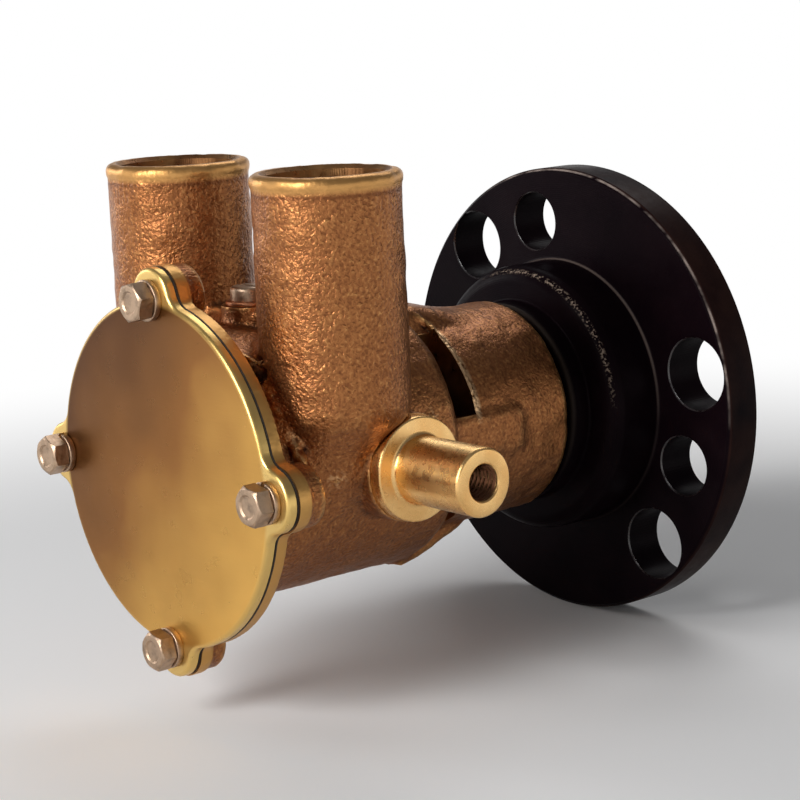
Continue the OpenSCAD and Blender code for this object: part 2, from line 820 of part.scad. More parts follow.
// Blades: each keeps its length and leans only as far as the cam and the bore need
blade_l = chamber_r - blade_gap - bead_r - hub_r;
function blade_point(lean, part) = [
    hub_r + blade_l * (lean == 0 ? part : sin(lean * part) / (lean * PI / 180)),
    blade_l * (lean == 0 ? 0 : (cos(lean * part) - 1) / (lean * PI / 180))
];
function turned(a, p) = [p[0] * cos(a) - p[1] * sin(a), p[0] * sin(a) + p[1] * cos(a)];
function blade_clear(a, lean) =
    let (tip = turned(a, blade_point(lean, 1)))
    abs(tip[0]) > cam_end[0] + bead_r || tip[1] < 0
        || tip[1] + bead_r + blade_gap <= cam_face_z(tip[0]);
function blade_lean(a) = [
    for (lean = [0:lean_step_deg:lean_max_deg])
        if (blade_clear(a, lean)) lean
][0];
function blade_half(part) = (blade_root_t + (blade_tip_t - blade_root_t) * part) / 2;
function blade_side(lean, side) = [
    for (i = [0:blade_parts])
        let (part = i / blade_parts)
        blade_point(lean, part) + side * blade_half(part) * [sin(lean * part), cos(lean * part)]
];
function back_to_front(list) = [for (i = [len(list) - 1:-1:0]) list[i]];

module blade(a) {
    lean = blade_lean(a);
    rotate(a) {
        polygon(concat(
            [[hub_r - blade_root_in, -blade_root_t / 2]],
            blade_side(lean, -1),
            back_to_front(blade_side(lean, 1)),
            [[hub_r - blade_root_in, blade_root_t / 2]]
        ));
        translate(blade_point(lean, 1)) circle(r = bead_r);
    }
}

module impeller() color([0.13, 0.13, 0.14]) at_station(s_plate + blade_gap)
    linear_extrude(impeller_w) difference() {
        union() {
            circle(r = hub_r);
            for (i = [0:blade_count - 1]) blade(blade_turn_deg + 360 * i / blade_count);
        }
        circle(r = insert_r);
    }

module impeller_insert() color([0.72, 0.52, 0.26]) at_station(s_plate + blade_gap)
    linear_extrude(impeller_w) difference() {
        circle(r = insert_r - fit);
        nose_section(shaft_r + fit);
    }

large_turns = [0, hole_step_deg, 2 * small_lead_deg, 2 * small_lead_deg + hole_step_deg];
small_turns = [for (i = [0:2]) small_lead_deg + i * hole_step_deg];

// A hole through the flange's plate, with both edges broken
module flange_hole(r) {
    translate([0, 0, -cut]) cylinder(h = flange_t + 2 * cut, r = r);
    cylinder(h = flange_chamfer, r1 = r + flange_chamfer, r2 = r);
    translate([0, 0, flange_t - flange_chamfer])
        cylinder(h = flange_chamfer, r1 = r, r2 = r + flange_chamfer);
}

module flange_blank() {
    chamfered(flange_r, flange_t, flange_chamfer, flange_chamfer);
    translate([0, 0, s_boss]) mirror([0, 0, 1])
        round_foot(boss_r, boss_l + flange_t / 2, boss_edge_r);
    chamfered(step_r, s_step, 0, step_edge);
    translate([0, 0, flange_t]) rotate_extrude() difference() {
        translate([boss_r - cut, 0]) square([boss_root_r + cut, boss_root_r]);
        translate([boss_r + boss_root_r, boss_root_r]) circle(r = boss_root_r);
    }
}

module drive_flange() color([0.06, 0.06, 0.07]) {
    difference() {
        at_station(0) difference() {
            flange_blank();
            translate([0, 0, -cut]) cylinder(h = register_depth + cut, r = register_d / 2);
            cylinder(h = s_recess, r = bolt_space_d / 2);
            cylinder(h = s_step + cut, r = shaft_r + fit);
            for (turn = large_turns) rotate(hole_turn_deg + turn)
                translate([large_circle_r, 0, 0]) flange_hole(large_hole_d / 2);
            for (turn = small_turns) rotate(hole_turn_deg + turn)
                translate([small_circle_r, 0, 0]) flange_hole(small_hole_d / 2);
        }
        translate([-key_w / 2, -s_step - cut, 0])
            cube([key_w, s_step - s_recess + 2 * cut, key_top + key_gap]);
    }
}

module flange_washer() color([0.66, 0.66, 0.66])
    ring(flange_washer_d / 2, bolt_d / 2 + screw_hole_gap, s_washer, s_recess);

module flange_bolt() color([0.66, 0.66, 0.66]) at_station(s_washer) {
    mirror([0, 0, 1]) hex_head(bolt_flats, bolt_head_h);
    cylinder(h = flange_washer_t + shaft_end_gap + bolt_l, r = bolt_d / 2 - fit);
}

pump_body();
end_cover();
cover_gasket();
cover_screws();
cover_lock_washers();
cam();
cam_screw();
cam_screw_washer();
wear_plate();
torque_stud();
seal_seat_cup();
seal_seat();
lip_seal();
housing_circlip();
outer_spacer_ring();
front_bearing_outer_race();
rear_bearing_outer_race();
shaft();
impeller();
impeller_insert();
seal_face();
seal_bellows();
seal_spring();
seal_retainer();
slinger();
front_bearing_inner_race();
rear_bearing_inner_race();
inner_spacer_ring();
shaft_circlip();
drive_key();
drive_flange();
flange_washer();
flange_bolt();
front_bearing_balls();
front_bearing_cage();
rear_bearing_balls();
rear_bearing_cage();
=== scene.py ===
"""Flexible impeller pump with two hose ports and a flange drive.

The helpers work in millimetres and turn their results into metres. As in the part's
source, a station is a distance along the shaft from the drive flange's rear face, so a
point is (x, station, z) until it becomes Blender's (x, -station, z).
"""
import itertools
import json
import math

import bmesh
import bpy
import numpy as np
from mathutils import Matrix, Vector


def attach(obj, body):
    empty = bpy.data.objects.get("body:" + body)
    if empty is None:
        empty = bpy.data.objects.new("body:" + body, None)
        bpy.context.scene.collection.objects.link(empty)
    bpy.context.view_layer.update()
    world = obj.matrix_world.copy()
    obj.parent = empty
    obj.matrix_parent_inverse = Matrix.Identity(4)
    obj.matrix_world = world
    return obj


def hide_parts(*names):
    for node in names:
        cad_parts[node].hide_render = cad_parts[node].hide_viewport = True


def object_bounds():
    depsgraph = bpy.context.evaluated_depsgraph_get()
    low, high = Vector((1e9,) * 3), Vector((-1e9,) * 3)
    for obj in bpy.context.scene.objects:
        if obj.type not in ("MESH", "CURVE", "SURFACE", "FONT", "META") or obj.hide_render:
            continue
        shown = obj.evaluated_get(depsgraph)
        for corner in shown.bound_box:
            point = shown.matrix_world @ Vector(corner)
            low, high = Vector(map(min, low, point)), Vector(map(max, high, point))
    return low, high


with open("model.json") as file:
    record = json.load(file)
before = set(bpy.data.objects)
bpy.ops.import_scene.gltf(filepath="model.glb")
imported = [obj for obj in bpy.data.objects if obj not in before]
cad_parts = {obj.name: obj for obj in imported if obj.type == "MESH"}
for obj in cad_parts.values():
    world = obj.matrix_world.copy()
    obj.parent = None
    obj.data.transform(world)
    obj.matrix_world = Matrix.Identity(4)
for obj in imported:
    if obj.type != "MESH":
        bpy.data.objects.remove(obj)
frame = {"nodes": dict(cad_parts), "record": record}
cad_low, cad_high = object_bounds()

MM = 0.001

# Sizes shared with the part's source
CHAMBER_R = 25.5
BARREL_R = 31.0
NECK_R = 25.7
CAVITY_R = 16.0
SEAT_BORE_R = 13.4
SHOULDER_R = 10.0
LIP_BORE_R = 15.0
DRAIN_R = 17.0
BEARING_R = 17.5
CLIP_GROOVE_R = 18.7
S_FLANGE = 10.4
S_BOSS = 25.4
S_STEP = 31.0
S_HOUSE = 33.4
S_CLIP = 35.0
S_SHOULDER = 58.5
S_WINDOW = 62.7
S_BARREL = 70.3
S_SEAT = 73.3
S_CAVITY = 80.3
S_FLOOR = 96.3
S_PLATE = 97.9
S_FACE = 130.5
S_COVER = 130.9
S_FRONT = 133.4
COVER_R = 39.0
SCREW_CIRCLE_R = 39.15
EAR_R = 7.0
EAR_FILLET_R = 5.0
RIM_T = 2.9
EAR_BOSS_L = 7.4
PORT_X = 27.6
S_PORT = 104.8
PORT_R = 16.3
PORT_BORE_R = 13.5
PORT_TOP = 65.8
PORT_FLOOR = 9.5
MOUTH_FLOOR = 27.0
LUG_X = 37.4
S_STUD = 92.7
LUG_R = 12.1
COLLAR_R = 11.7
COLLAR_T = 3.0
STUD_R = 7.6
STUD_END = 61.1
STUD_HOLE_R = 3.4
S_CAM_SCREW = 106.6
CAM_SEAT_Z = 34.8
CAM_WASHER_T = 1.0
WASHER_T = 1.5
FLANGE_R = 56.2
LARGE_CIRCLE_R = 46.5
SMALL_CIRCLE_R = 43.3
LARGE_HOLE_R = 8.75
SMALL_HOLE_R = 7.3
FLANGE_CHAMFER = 0.9
HOLE_CHAMFER = 0.3
BOSS_R = 33.2
STEP_R = 24.8
SHAFT_BORE_R = 8.02
REGISTER_R = 30.0
REGISTER_DEPTH = 3.0
RECESS_R = 20.0
S_RECESS = 12.0
S_BOLT_HEAD = 9.0
SCREW_R = 2.48
SCREW_TAP_R = 2.5
SCREW_CLEAR_R = 2.75
THREAD_PITCH = 1.25

# Forms of the casting between its main cylinders
TRIM = 0.5  # cast past a face and cut off again
PAST_FACE = 140.0
RAMP_R = 24.6
S_RAMP = 46.5
RAMP_RISE = 0.319
RAMP_UNIT = 1.05
TOP_WEB_HALF = 11.5
S_TOP_WEB = 43.6
UNDER_RAMP = (25.2, 56.7)
UNDER_SLOPE = (14.6, 5.8)
UNDER_UNIT = 15.71
UNDER_WEB_HALF = 11.0
S_UNDER_WEB = 55.6
S_WEB_END = 75.0
PAD_X = 13.0
S_PAD = 60.75
PAD_HALF = (12.85, 12.4, 4.8)
BEAD_OUT = 0.36
BEAD_L = 3.6
NECK_BELOW_TOP = 2.2
FOOT_X = 22.5
FOOT_Z = 5.5
FOOT_SIZE = (14.2, 14.6, 14.0)
S_LAND = 103.0
LAND_Z = 20.0
LAND_HALF = (13, 7, 13.6)
CAM_BOSS_R = 6.4
CAM_FACE_R = 7.4
CLIP_GROOVE_W = 1.5
POCKET_FLOOR = 12.0
STUD_TAP_R = 5.0

# Turns about the shaft, in degrees from +X; a window is (start, sweep)
SCREW_TURNS = (0, 90, 180, 270)
LARGE_TURNS = (11.3, 131.3, 191.3, 311.3)
SMALL_TURNS = (101.3, 221.3, 341.3)
WINDOWS = ((12, 52), (116, 52), (-58, 43), (195, 43))

# The casting's flaws, as (x, station, z) places
FILLET_RIDGE = [(22.9, 120.5, 22.4), (24.6, 120.5, 20.3), (26.6, 120.5, 16.7), (28.6, 120.4, 13.4),
                (30.9, 120.2, 9.6), (33.2, 119.8, 6.0), (34.6, 119.4, 2.6)]
FLASH_LINE = [(15.6, 121.5, 27.2), (18.2, 121.4, 26.6), (20.6, 121.0, 25.8), (22.6, 120.9, 25.2),
              (24.4, 120.9, 26.0), (26.0, 120.7, 27.7)]
NOTCH = [(20.4, 120.6, 25.0), (22.6, 119.8, 22.6)]
WINDOW_EDGE = [(NECK_R * math.cos(math.radians(a)), S_WINDOW - 0.45, NECK_R * math.sin(math.radians(a)))
               for a in range(10, 64, 6)]
WINDOW_EDGE += [(10.2, 63.3, 25.2), (8.8, 65.2, 27.2)]
PORT_FLAW = [(-15.3, 115.5, 52.0), (-12.8, 111.7, 51.5)]
NODULES = [(36.0, 100.0, 9.4), (34.2, 111.1, -0.1), (30.0, 79.9, 8.0)]


# Meshes

def make_piece(name, points, faces, outward=True):
    """A mesh object from points (x, y, z) in millimetres."""
    mesh = bpy.data.meshes.new(name)
    mesh.from_pydata((np.asarray(points, float) * MM).tolist(), [], [list(f) for f in faces])
    piece = bpy.data.objects.new(name, mesh)
    bpy.context.scene.collection.objects.link(piece)
    if outward:
        turn_faces_out(piece)
    return piece


def turn_faces_out(piece):
    """Makes every face of a closed piece point outwards."""
    shape = bmesh.new()
    shape.from_mesh(piece.data)
    bmesh.ops.recalc_face_normals(shape, faces=shape.faces)
    shape.to_mesh(piece.data)
    shape.free()


def rounded(corners, steps=4):
    """A closed path through (across, along, radius) corners, each rounded by its radius."""
    path = []
    for i, (across, along, radius) in enumerate(corners):
        here = np.array((across, along), float)
        if radius == 0:
            path.append(here)
            continue
        back = np.array(corners[i - 1][:2], float) - here
        ahead = np.array(corners[(i + 1) % len(corners)][:2], float) - here
        back /= np.linalg.norm(back)
        ahead /= np.linalg.norm(ahead)
        half = math.acos(float(np.clip(back @ ahead, -1, 1))) / 2
        middle = back + ahead
        centre = here + middle / np.linalg.norm(middle) * radius / math.sin(half)
        start = here + back * radius / math.tan(half) - centre
        end = here + ahead * radius / math.tan(half) - centre
        for k in range(steps + 1):
            spoke = start * (1 - k / steps) + end * k / steps
            path.append(centre + spoke / np.linalg.norm(spoke) * radius)
    return path


def place_y(across, along, angle):
    """Round the shaft's axis; along is a station."""
    return (across * math.cos(angle), -along, across * math.sin(angle))


def place_z(centre_x, station):
    """Round an upright axis."""
    def place(across, along, angle):
        return (centre_x + across * math.cos(angle), -station + across * math.sin(angle), along)
    return place


def place_x(across, along, angle):
    """Round the stud's axis."""
    return (along, -S_STUD + across * math.cos(angle), across * math.sin(angle))


def place_beside(turn, circle_r):
    """Round an axis that is parallel to the shaft's, on a circle about it."""
    cx, cz = circle_r * math.cos(turn), circle_r * math.sin(turn)

    def place(across, along, angle):
        return (cx + across * math.cos(angle), -along, cz + across * math.sin(angle))
    return place


def lathe(name, path, place=place_y, segments=96, start=0.0, sweep=360.0):
    """A closed path of (radius, along) turned about an axis. Points at radius 0 become poles."""
    points, rows = [], []
    whole = sweep == 360.0
    count = segments if whole else segments + 1
    for across, along in path:
        if abs(across) < 1e-9:
            rows.append([len(points)] * count)
            points.append(place(0.0, along, 0.0))
            continue
        row = []
        for k in range(count):
            row.append(len(points))
            points.append(place(across, along, math.radians(start + sweep * k / segments)))
        rows.append(row)
    faces = []
    for a, b in zip(rows, rows[1:] + rows[:1]):
        for k in range(segments):
            n = (k + 1) % count
            face = [a[k], a[n], b[n], b[k]]
            face = [v for i, v in enumerate(face) if v != face[i - 1]]
            if len(face) > 2:
                faces.append(face)
    if not whole:
        faces.append([row[0] for row in rows])
        faces.append([row[-1] for row in rows])
    return make_piece(name, points, faces)


def block(low, high):
    """A box between two corners (x, station, z)."""
    corners = [(x, -s, z) for x in (low[0], high[0]) for s in (low[1], high[1]) for z in (low[2], high[2])]
    faces = [(0, 1, 3, 2), (4, 6, 7, 5), (0, 4, 5, 1), (2, 3, 7, 6), (0, 2, 6, 4), (1, 5, 7, 3)]
    return make_piece("block", corners, faces)


def drill(name, radius, low, high, place=place_y, segments=96):
    """A plain round cutter between two places along its axis."""
    return lathe(name, [(0, low), (radius, low), (radius, high), (0, high)], place, segments)


def bands(rings):
    """Quads between neighbouring closed rings of point numbers."""
    return [(a[k], a[(k + 1) % len(a)], b[(k + 1) % len(a)], b[k])
            for a, b in zip(rings, rings[1:]) for k in range(len(a))]


def polar_solid(name, rows, place, count, poles=None):
    """A closed solid from rings of (radius, along), each a number or a function of the angle.

    Both ends are closed at a pole, at the end rings' own places unless others are given.
    """
    points, rings = [], []
    for row in rows:
        rings.append(range(len(points), len(points) + count))
        for k in range(count):
            angle = 2 * math.pi * k / count
            radius, along = (v(angle) if callable(v) else v for v in row)
            points.append(place(radius, along, angle))
    faces = bands(rings)
    for ring, along in zip((rings[0], rings[-1]), poles or (rows[0][1], rows[-1][1])):
        faces += [(ring[k], ring[(k + 1) % count], len(points)) for k in range(count)]
        points.append(place(0.0, along, 0.0))
    return make_piece(name, points, faces)


def settle(piece):
    """Turns a piece's modifiers into its mesh."""
    bpy.context.view_layer.update()
    settled = bpy.data.meshes.new_from_object(piece.evaluated_get(bpy.context.evaluated_depsgraph_get()))
    worn_out = piece.data
    piece.modifiers.clear()
    piece.data = settled
    bpy.data.meshes.remove(worn_out)


def carve(piece, *cutters):
    """Cuts closed shapes out of a piece; the new faces take the piece's second finish."""
    for cutter in cutters:
        cutter.data.materials.clear()
        for finish_slot in piece.data.materials:
            cutter.data.materials.append(finish_slot)
        if len(piece.data.materials) > 1:
            cutter.data.polygons.foreach_set("material_index", [1] * len(cutter.data.polygons))
        cut = piece.modifiers.new("cut", "BOOLEAN")
        cut.operation = "DIFFERENCE"
        cut.solver = "MANIFOLD"
        cut.object = cutter
    settle(piece)
    for cutter in cutters:
        bpy.data.objects.remove(cutter)


def gather(*pieces):
    """Joins loose shapes that don't touch into one object."""
    shape = bmesh.new()
    for piece in pieces:
        shape.from_mesh(piece.data)
    shape.to_mesh(pieces[0].data)
    shape.free()
    for piece in pieces[1:]:
        bpy.data.objects.remove(piece)
    return pieces[0]


def screw_holes(radius, low, high, segments):
    """Cutters at the four cover screws."""
    return gather(*[
        drill("screw_hole", radius, low, high, place_beside(math.radians(turn), SCREW_CIRCLE_R), segments)
        for turn in SCREW_TURNS
    ])


def dress(piece, *finish_names):
    """Gives a piece its finishes; carved faces take the second."""
    for name in finish_names:
        piece.data.materials.append(finishes[name])


def hand_over(piece, body, node, sharp_deg=32):
    piece.data.shade_smooth()
    piece.data.set_sharp_from_angle(angle=math.radians(sharp_deg))
    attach(piece, body)
    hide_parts(node)


# Finishes

class Nodes:
    """A node tree with short names for the nodes that this script uses."""

    def __init__(self, tree):
        self.tree = tree
        self.place = None

    def add(self, kind, **settings):
        node = self.tree.nodes.new(kind)
        for key, value in settings.items():
            setattr(node, key, value)
        return node

    def feed(self, socket, source):
        """Links a socket to another, or sets its value."""
        if hasattr(source, "is_linked"):
            self.tree.links.new(source, socket)
        else:
            socket.default_value = source

    def wire(self, node, output=0, **sockets):
        """Feeds a node's sockets, named with _ for a space, and gives one of its outputs."""
        for name, source in sockets.items():
            self.feed(node.inputs[name.replace("_", " ")], source)
        return node.outputs[output]

    def level(self, source, low, high, to_low=0.0, to_high=1.0, smooth=False):
        node = self.add("ShaderNodeMapRange", interpolation_type="SMOOTHSTEP" if smooth else "LINEAR")
        return self.wire(node, "Result", Value=source, From_Min=low, From_Max=high,
                         To_Min=to_low, To_Max=to_high)

    def sums(self, operation, a, b=0.0):
        node = self.add("ShaderNodeMath", operation=operation)
        self.feed(node.inputs[0], a)
        self.feed(node.inputs[1], b)
        return node.outputs[0]

    def times(self, a, b):
        return self.sums("MULTIPLY", a, b)

    def axis(self, letter, place=None):
        return self.wire(self.add("ShaderNodeSeparateXYZ"), letter, Vector=place or self.place)

    def blend(self, share, low, high):
        """Colours or sockets mixed by a share."""
        node = self.add("ShaderNodeMix", data_type="RGBA")
        self.feed(node.inputs[0], share)
        for socket, value in ((node.inputs[6], low), (node.inputs[7], high)):
            self.feed(socket, (*value, 1) if isinstance(value, tuple) else value)
        return node.outputs[2]

    def backdrop_seen(self):
        """1 for rays that show the background itself: camera, glossy and transmission rays."""
        rays = self.add("ShaderNodeLightPath").outputs
        seen = self.sums("MAXIMUM", rays["Is Camera Ray"], rays["Is Glossy Ray"])
        return self.sums("MAXIMUM", seen, rays["Is Transmission Ray"])


class Finish(Nodes):
    """One node material. Patterns read Object coordinates; lengths are millimetres."""

    def __init__(self, name, metal=0.0, rough=0.5, **sockets):
        self.material = bpy.data.materials.new(name)
        self.material.use_nodes = True
        super().__init__(self.material.node_tree)
        self.place = self.add("ShaderNodeTexCoord").outputs["Object"]
        self.shader = self.tree.nodes["Principled BSDF"]
        self.wire(self.shader, Metallic=metal, Roughness=rough, **sockets)

    def turned_place(self, turn=(0, 0, 0), stretch=(1, 1, 1), shift=(0, 0, 0)):
        return self.wire(self.add("ShaderNodeMapping"), Vector=self.place, Location=[v * MM for v in shift],
                         Rotation=[math.radians(v) for v in turn], Scale=stretch)

    def noise(self, size, detail=2.0, rough=0.5, place=None, warp=0.0):
        return self.wire(self.add("ShaderNodeTexNoise"), "Fac", Vector=place or self.place,
                         Scale=1 / (size * MM), Detail=detail, Roughness=rough, Distortion=warp)

    def patches(self, size, detail, to_low=0.0, to_high=1.0, rough=0.5, between=(0.3, 0.7)):
        """Noise turned into a value, low in some patches and high in others."""
        return self.level(self.noise(size, detail, rough), *between, to_low, to_high)

    def lines(self, size, direction="Y", rings=False, warp=0.0, warp_size=8.0, place=None):
        """Turning marks: bands along an axis, or rings about it."""
        node = self.add("ShaderNodeTexWave", wave_type="RINGS" if rings else "BANDS")
        setattr(node, "rings_direction" if rings else "bands_direction", direction)
        waves_per_unit = 0.314
        return self.wire(node, "Fac", Vector=place or self.place, Scale=waves_per_unit / (size * MM),
                         Distortion=warp, Detail=2, Detail_Scale=size / warp_size)

    def radius(self, across_a, across_b, centre=(0, 0, 0)):
        """Distance from an axis, in metres; the two letters name the directions across it."""
        place = self.turned_place(shift=[-v for v in centre])
        a, b = self.axis(across_a, place), self.axis(across_b, place)
        return self.sums("SQRT", self.sums("ADD", self.times(a, a), self.times(b, b)))

    def near_point(self, point, inner, outer):
        """1 within the inner distance from an (x, station, z) point, 0 beyond the outer."""
        node = self.add("ShaderNodeVectorMath", operation="DISTANCE")
        self.feed(node.inputs[0], self.place)
        node.inputs[1].default_value = (point[0] * MM, -point[1] * MM, point[2] * MM)
        return self.level(node.outputs["Value"], inner * MM, outer * MM, 1.0, 0.0)

    def ring_line(self, radius, station, inner, outer):
        """1 on a circle about the shaft, 0 beyond the outer distance from it."""
        across = self.sums("ABSOLUTE", self.sums("SUBTRACT", self.radius("X", "Z"), radius * MM))
        along = self.sums("ABSOLUTE", self.sums("ADD", self.axis("Y"), station * MM))
        return self.level(self.sums("ADD", across, along), inner * MM, outer * MM, 1.0, 0.0)

    def pointiness(self, low, high):
        return self.level(self.add("ShaderNodeNewGeometry").outputs["Pointiness"], low, high)

    def bump(self, height, depth, below=None):
        node = self.add("ShaderNodeBump")
        if below:
            self.feed(node.inputs["Normal"], below)
        return self.wire(node, "Normal", Strength=1.0, Distance=depth * MM, Height=height)

    def done(self, colour, rough=None, normal=None):
        for socket, source in (("Base Color", colour), ("Roughness", rough), ("Normal", normal)):
            if source is not None:
                self.feed(self.shader.inputs[socket], source)
        return self.material


def sand_cast_bronze():
    """Fine-grained cast skin with dark hollows, rubbed high spots and a cleaned rim and lip, with painted
    shade under the port beads and in the notch by the rim, and painted highlights on raised spots and the
    top window edges.
    """
    skin = Finish("sand_cast_bronze", metal=0.88)
    grain = skin.noise(0.78, detail=1.4, warp=0.4)
    height = skin.axis("Z")
    rim_back = S_FACE - RIM_T
    rim = skin.level(skin.axis("Y"), -(rim_back - 0.5) * MM, -(rim_back + 0.1) * MM)
    lip = skin.level(height, (PORT_TOP - 4.0) * MM, (PORT_TOP - 2.8) * MM)
    # Painted shade: a dark line under each port's bead, where the bead's lower edge shades the tube.
    painted_groove_shade = skin.times(skin.level(height, (PORT_TOP - 5.0) * MM, (PORT_TOP - 4.4) * MM),
                        skin.level(height, (PORT_TOP - 3.6) * MM, (PORT_TOP - 4.2) * MM))
    rear = skin.level(skin.axis("Y"), -86 * MM, -74 * MM)
    colour = skin.blend(skin.patches(15, 3, rough=0.6), (0.31, 0.115, 0.038), (0.38, 0.152, 0.050))
    colour = skin.blend(skin.level(grain, 0.30, 0.54), (0.215, 0.076, 0.026), colour)
    colour = skin.blend(skin.level(grain, 0.58, 0.78), colour, (0.52, 0.24, 0.082))
    colour = skin.blend(skin.times(painted_groove_shade, 0.6), colour, (0.15, 0.052, 0.018))
    colour = skin.blend(skin.pointiness(0.508, 0.56), colour, (0.68, 0.37, 0.135))
    colour = skin.blend(skin.pointiness(0.488, 0.44), colour, (0.045, 0.014, 0.007))
    # Painted shadow: a near-black spot in the notch between the rim and the port.
    painted_notch_shadow = skin.near_point((21.8, 120.0, 23.4), 2.0, 3.2)
    colour = skin.blend(painted_notch_shadow, colour, (0.012, 0.004, 0.003))
    # Painted glints: bright specks on the fillet ridge and the nodules.
    painted_glint_flecks = skin.patches(1.0, 1, between=(0.46, 0.62))
    for spot in FILLET_RIDGE[::2] + NODULES:
        colour = skin.blend(skin.times(skin.near_point(spot, 0.8, 3.0), painted_glint_flecks), colour, (0.60, 0.33, 0.15))
    # Painted highlight: a bright broken line on the housing's edge at the windows above the shaft only.
    painted_edge_highlight = skin.times(skin.ring_line(NECK_R, S_WINDOW - 0.6, 0.7, 1.9), skin.level(height, 3 * MM, 6 * MM))
    painted_edge_highlight = skin.times(painted_edge_highlight, skin.patches(1.1, 2, between=(0.34, 0.48)))
    colour = skin.blend(painted_edge_highlight, colour, (0.86, 0.56, 0.30))
    colour = skin.blend(skin.times(lip, 0.8), colour, (0.62, 0.33, 0.105))
    colour = skin.blend(rim, colour, (0.62, 0.34, 0.100))
    calm = skin.sums("MAXIMUM", skin.times(rim, 0.9), skin.times(lip, 0.8))
    calm = skin.sums("MAXIMUM", calm, skin.times(rear, 0.55))
    normal = skin.bump(skin.noise(3.0), 0.20)
    normal = skin.bump(skin.times(grain, skin.sums("SUBTRACT", 1.0, calm)), 0.30, normal)
    return skin.done(colour, skin.patches(3.0, 3, 0.34, 0.44), normal)


def bored_bronze():
    """Machined faces and bores of the casting."""
    cut = Finish("bored_bronze", metal=1.0)
    stain = cut.patches(9, 3, between=(0.35, 0.65))
    colour = cut.blend(stain, (0.27, 0.12, 0.048), (0.46, 0.24, 0.092))
    return cut.done(colour, cut.patches(2.2, 3, 0.26, 0.42), cut.bump(cut.lines(0.35, warp=1.2), 0.02))


def cover_plate_brass():
    """Pressed brass plate: golden and satin, browner and darker towards its upper left as painted shade,
    golden towards its lower right as painted light.
    """
    plate = Finish("cover_plate_brass", metal=0.93)
    # Painted shade and light: darker and browner towards the upper left, golden towards the lower right,
    # with random patches.
    painted_light_slope = plate.times(plate.sums("SUBTRACT", plate.axis("X"), plate.axis("Z")), 9.5)
    painted_light_slope = plate.sums("ADD", painted_light_slope, plate.patches(24, 2, -0.09, 0.09))
    share = plate.level(painted_light_slope, -0.60, 0.50)
    colour = plate.blend(plate.level(share, 0, 0.55), (0.062, 0.020, 0.006), (0.30, 0.122, 0.026))
    colour = plate.blend(plate.level(share, 0.5, 1), colour, (0.80, 0.45, 0.105))
    edge = plate.level(plate.radius("X", "Z"), (COVER_R - 1.2) * MM, (COVER_R - 0.1) * MM)
    colour = plate.blend(edge, colour, (0.80, 0.54, 0.18))
    brushed = plate.noise(0.42, place=plate.turned_place(turn=(0, 22, 0), stretch=(0.06, 1, 1)))
    normal = plate.bump(plate.noise(16, detail=1), 0.18)
    normal = plate.bump(brushed, 0.018, normal)
    normal = plate.bump(plate.noise(0.5, detail=3, rough=0.65), 0.010, normal)
    return plate.done(colour, plate.patches(4.0, 4, 0.26, 0.40), normal)


def turned_brass():
    """Bright lathe-turned brass with fine rings round the stud, and painted shade inside its threaded hole.
    """
    turned = Finish("turned_brass", metal=1.0, Anisotropic=0.35)
    from_axis = turned.radius("Y", "Z", centre=(0, -S_STUD, 0))
    on_axis = turned.turned_place(shift=(0, S_STUD, 0))
    colour = turned.blend(turned.patches(9, 2), (0.84, 0.48, 0.17), (0.95, 0.62, 0.26))
    # Painted shade: the threaded hole is dark inside.
    painted_hole_shade = turned.level(from_axis, (STUD_HOLE_R + 0.75) * MM, (STUD_HOLE_R + 0.5) * MM)
    colour = turned.blend(painted_hole_shade, colour, (0.13, 0.055, 0.028))
    normal = turned.bump(turned.lines(0.28, "X", warp=0.8), 0.012)
    normal = turned.bump(turned.lines(0.30, "X", rings=True, warp=0.5, place=on_axis), 0.010, normal)
    return turned.done(colour, turned.patches(1.6, 3, 0.24, 0.32), normal)


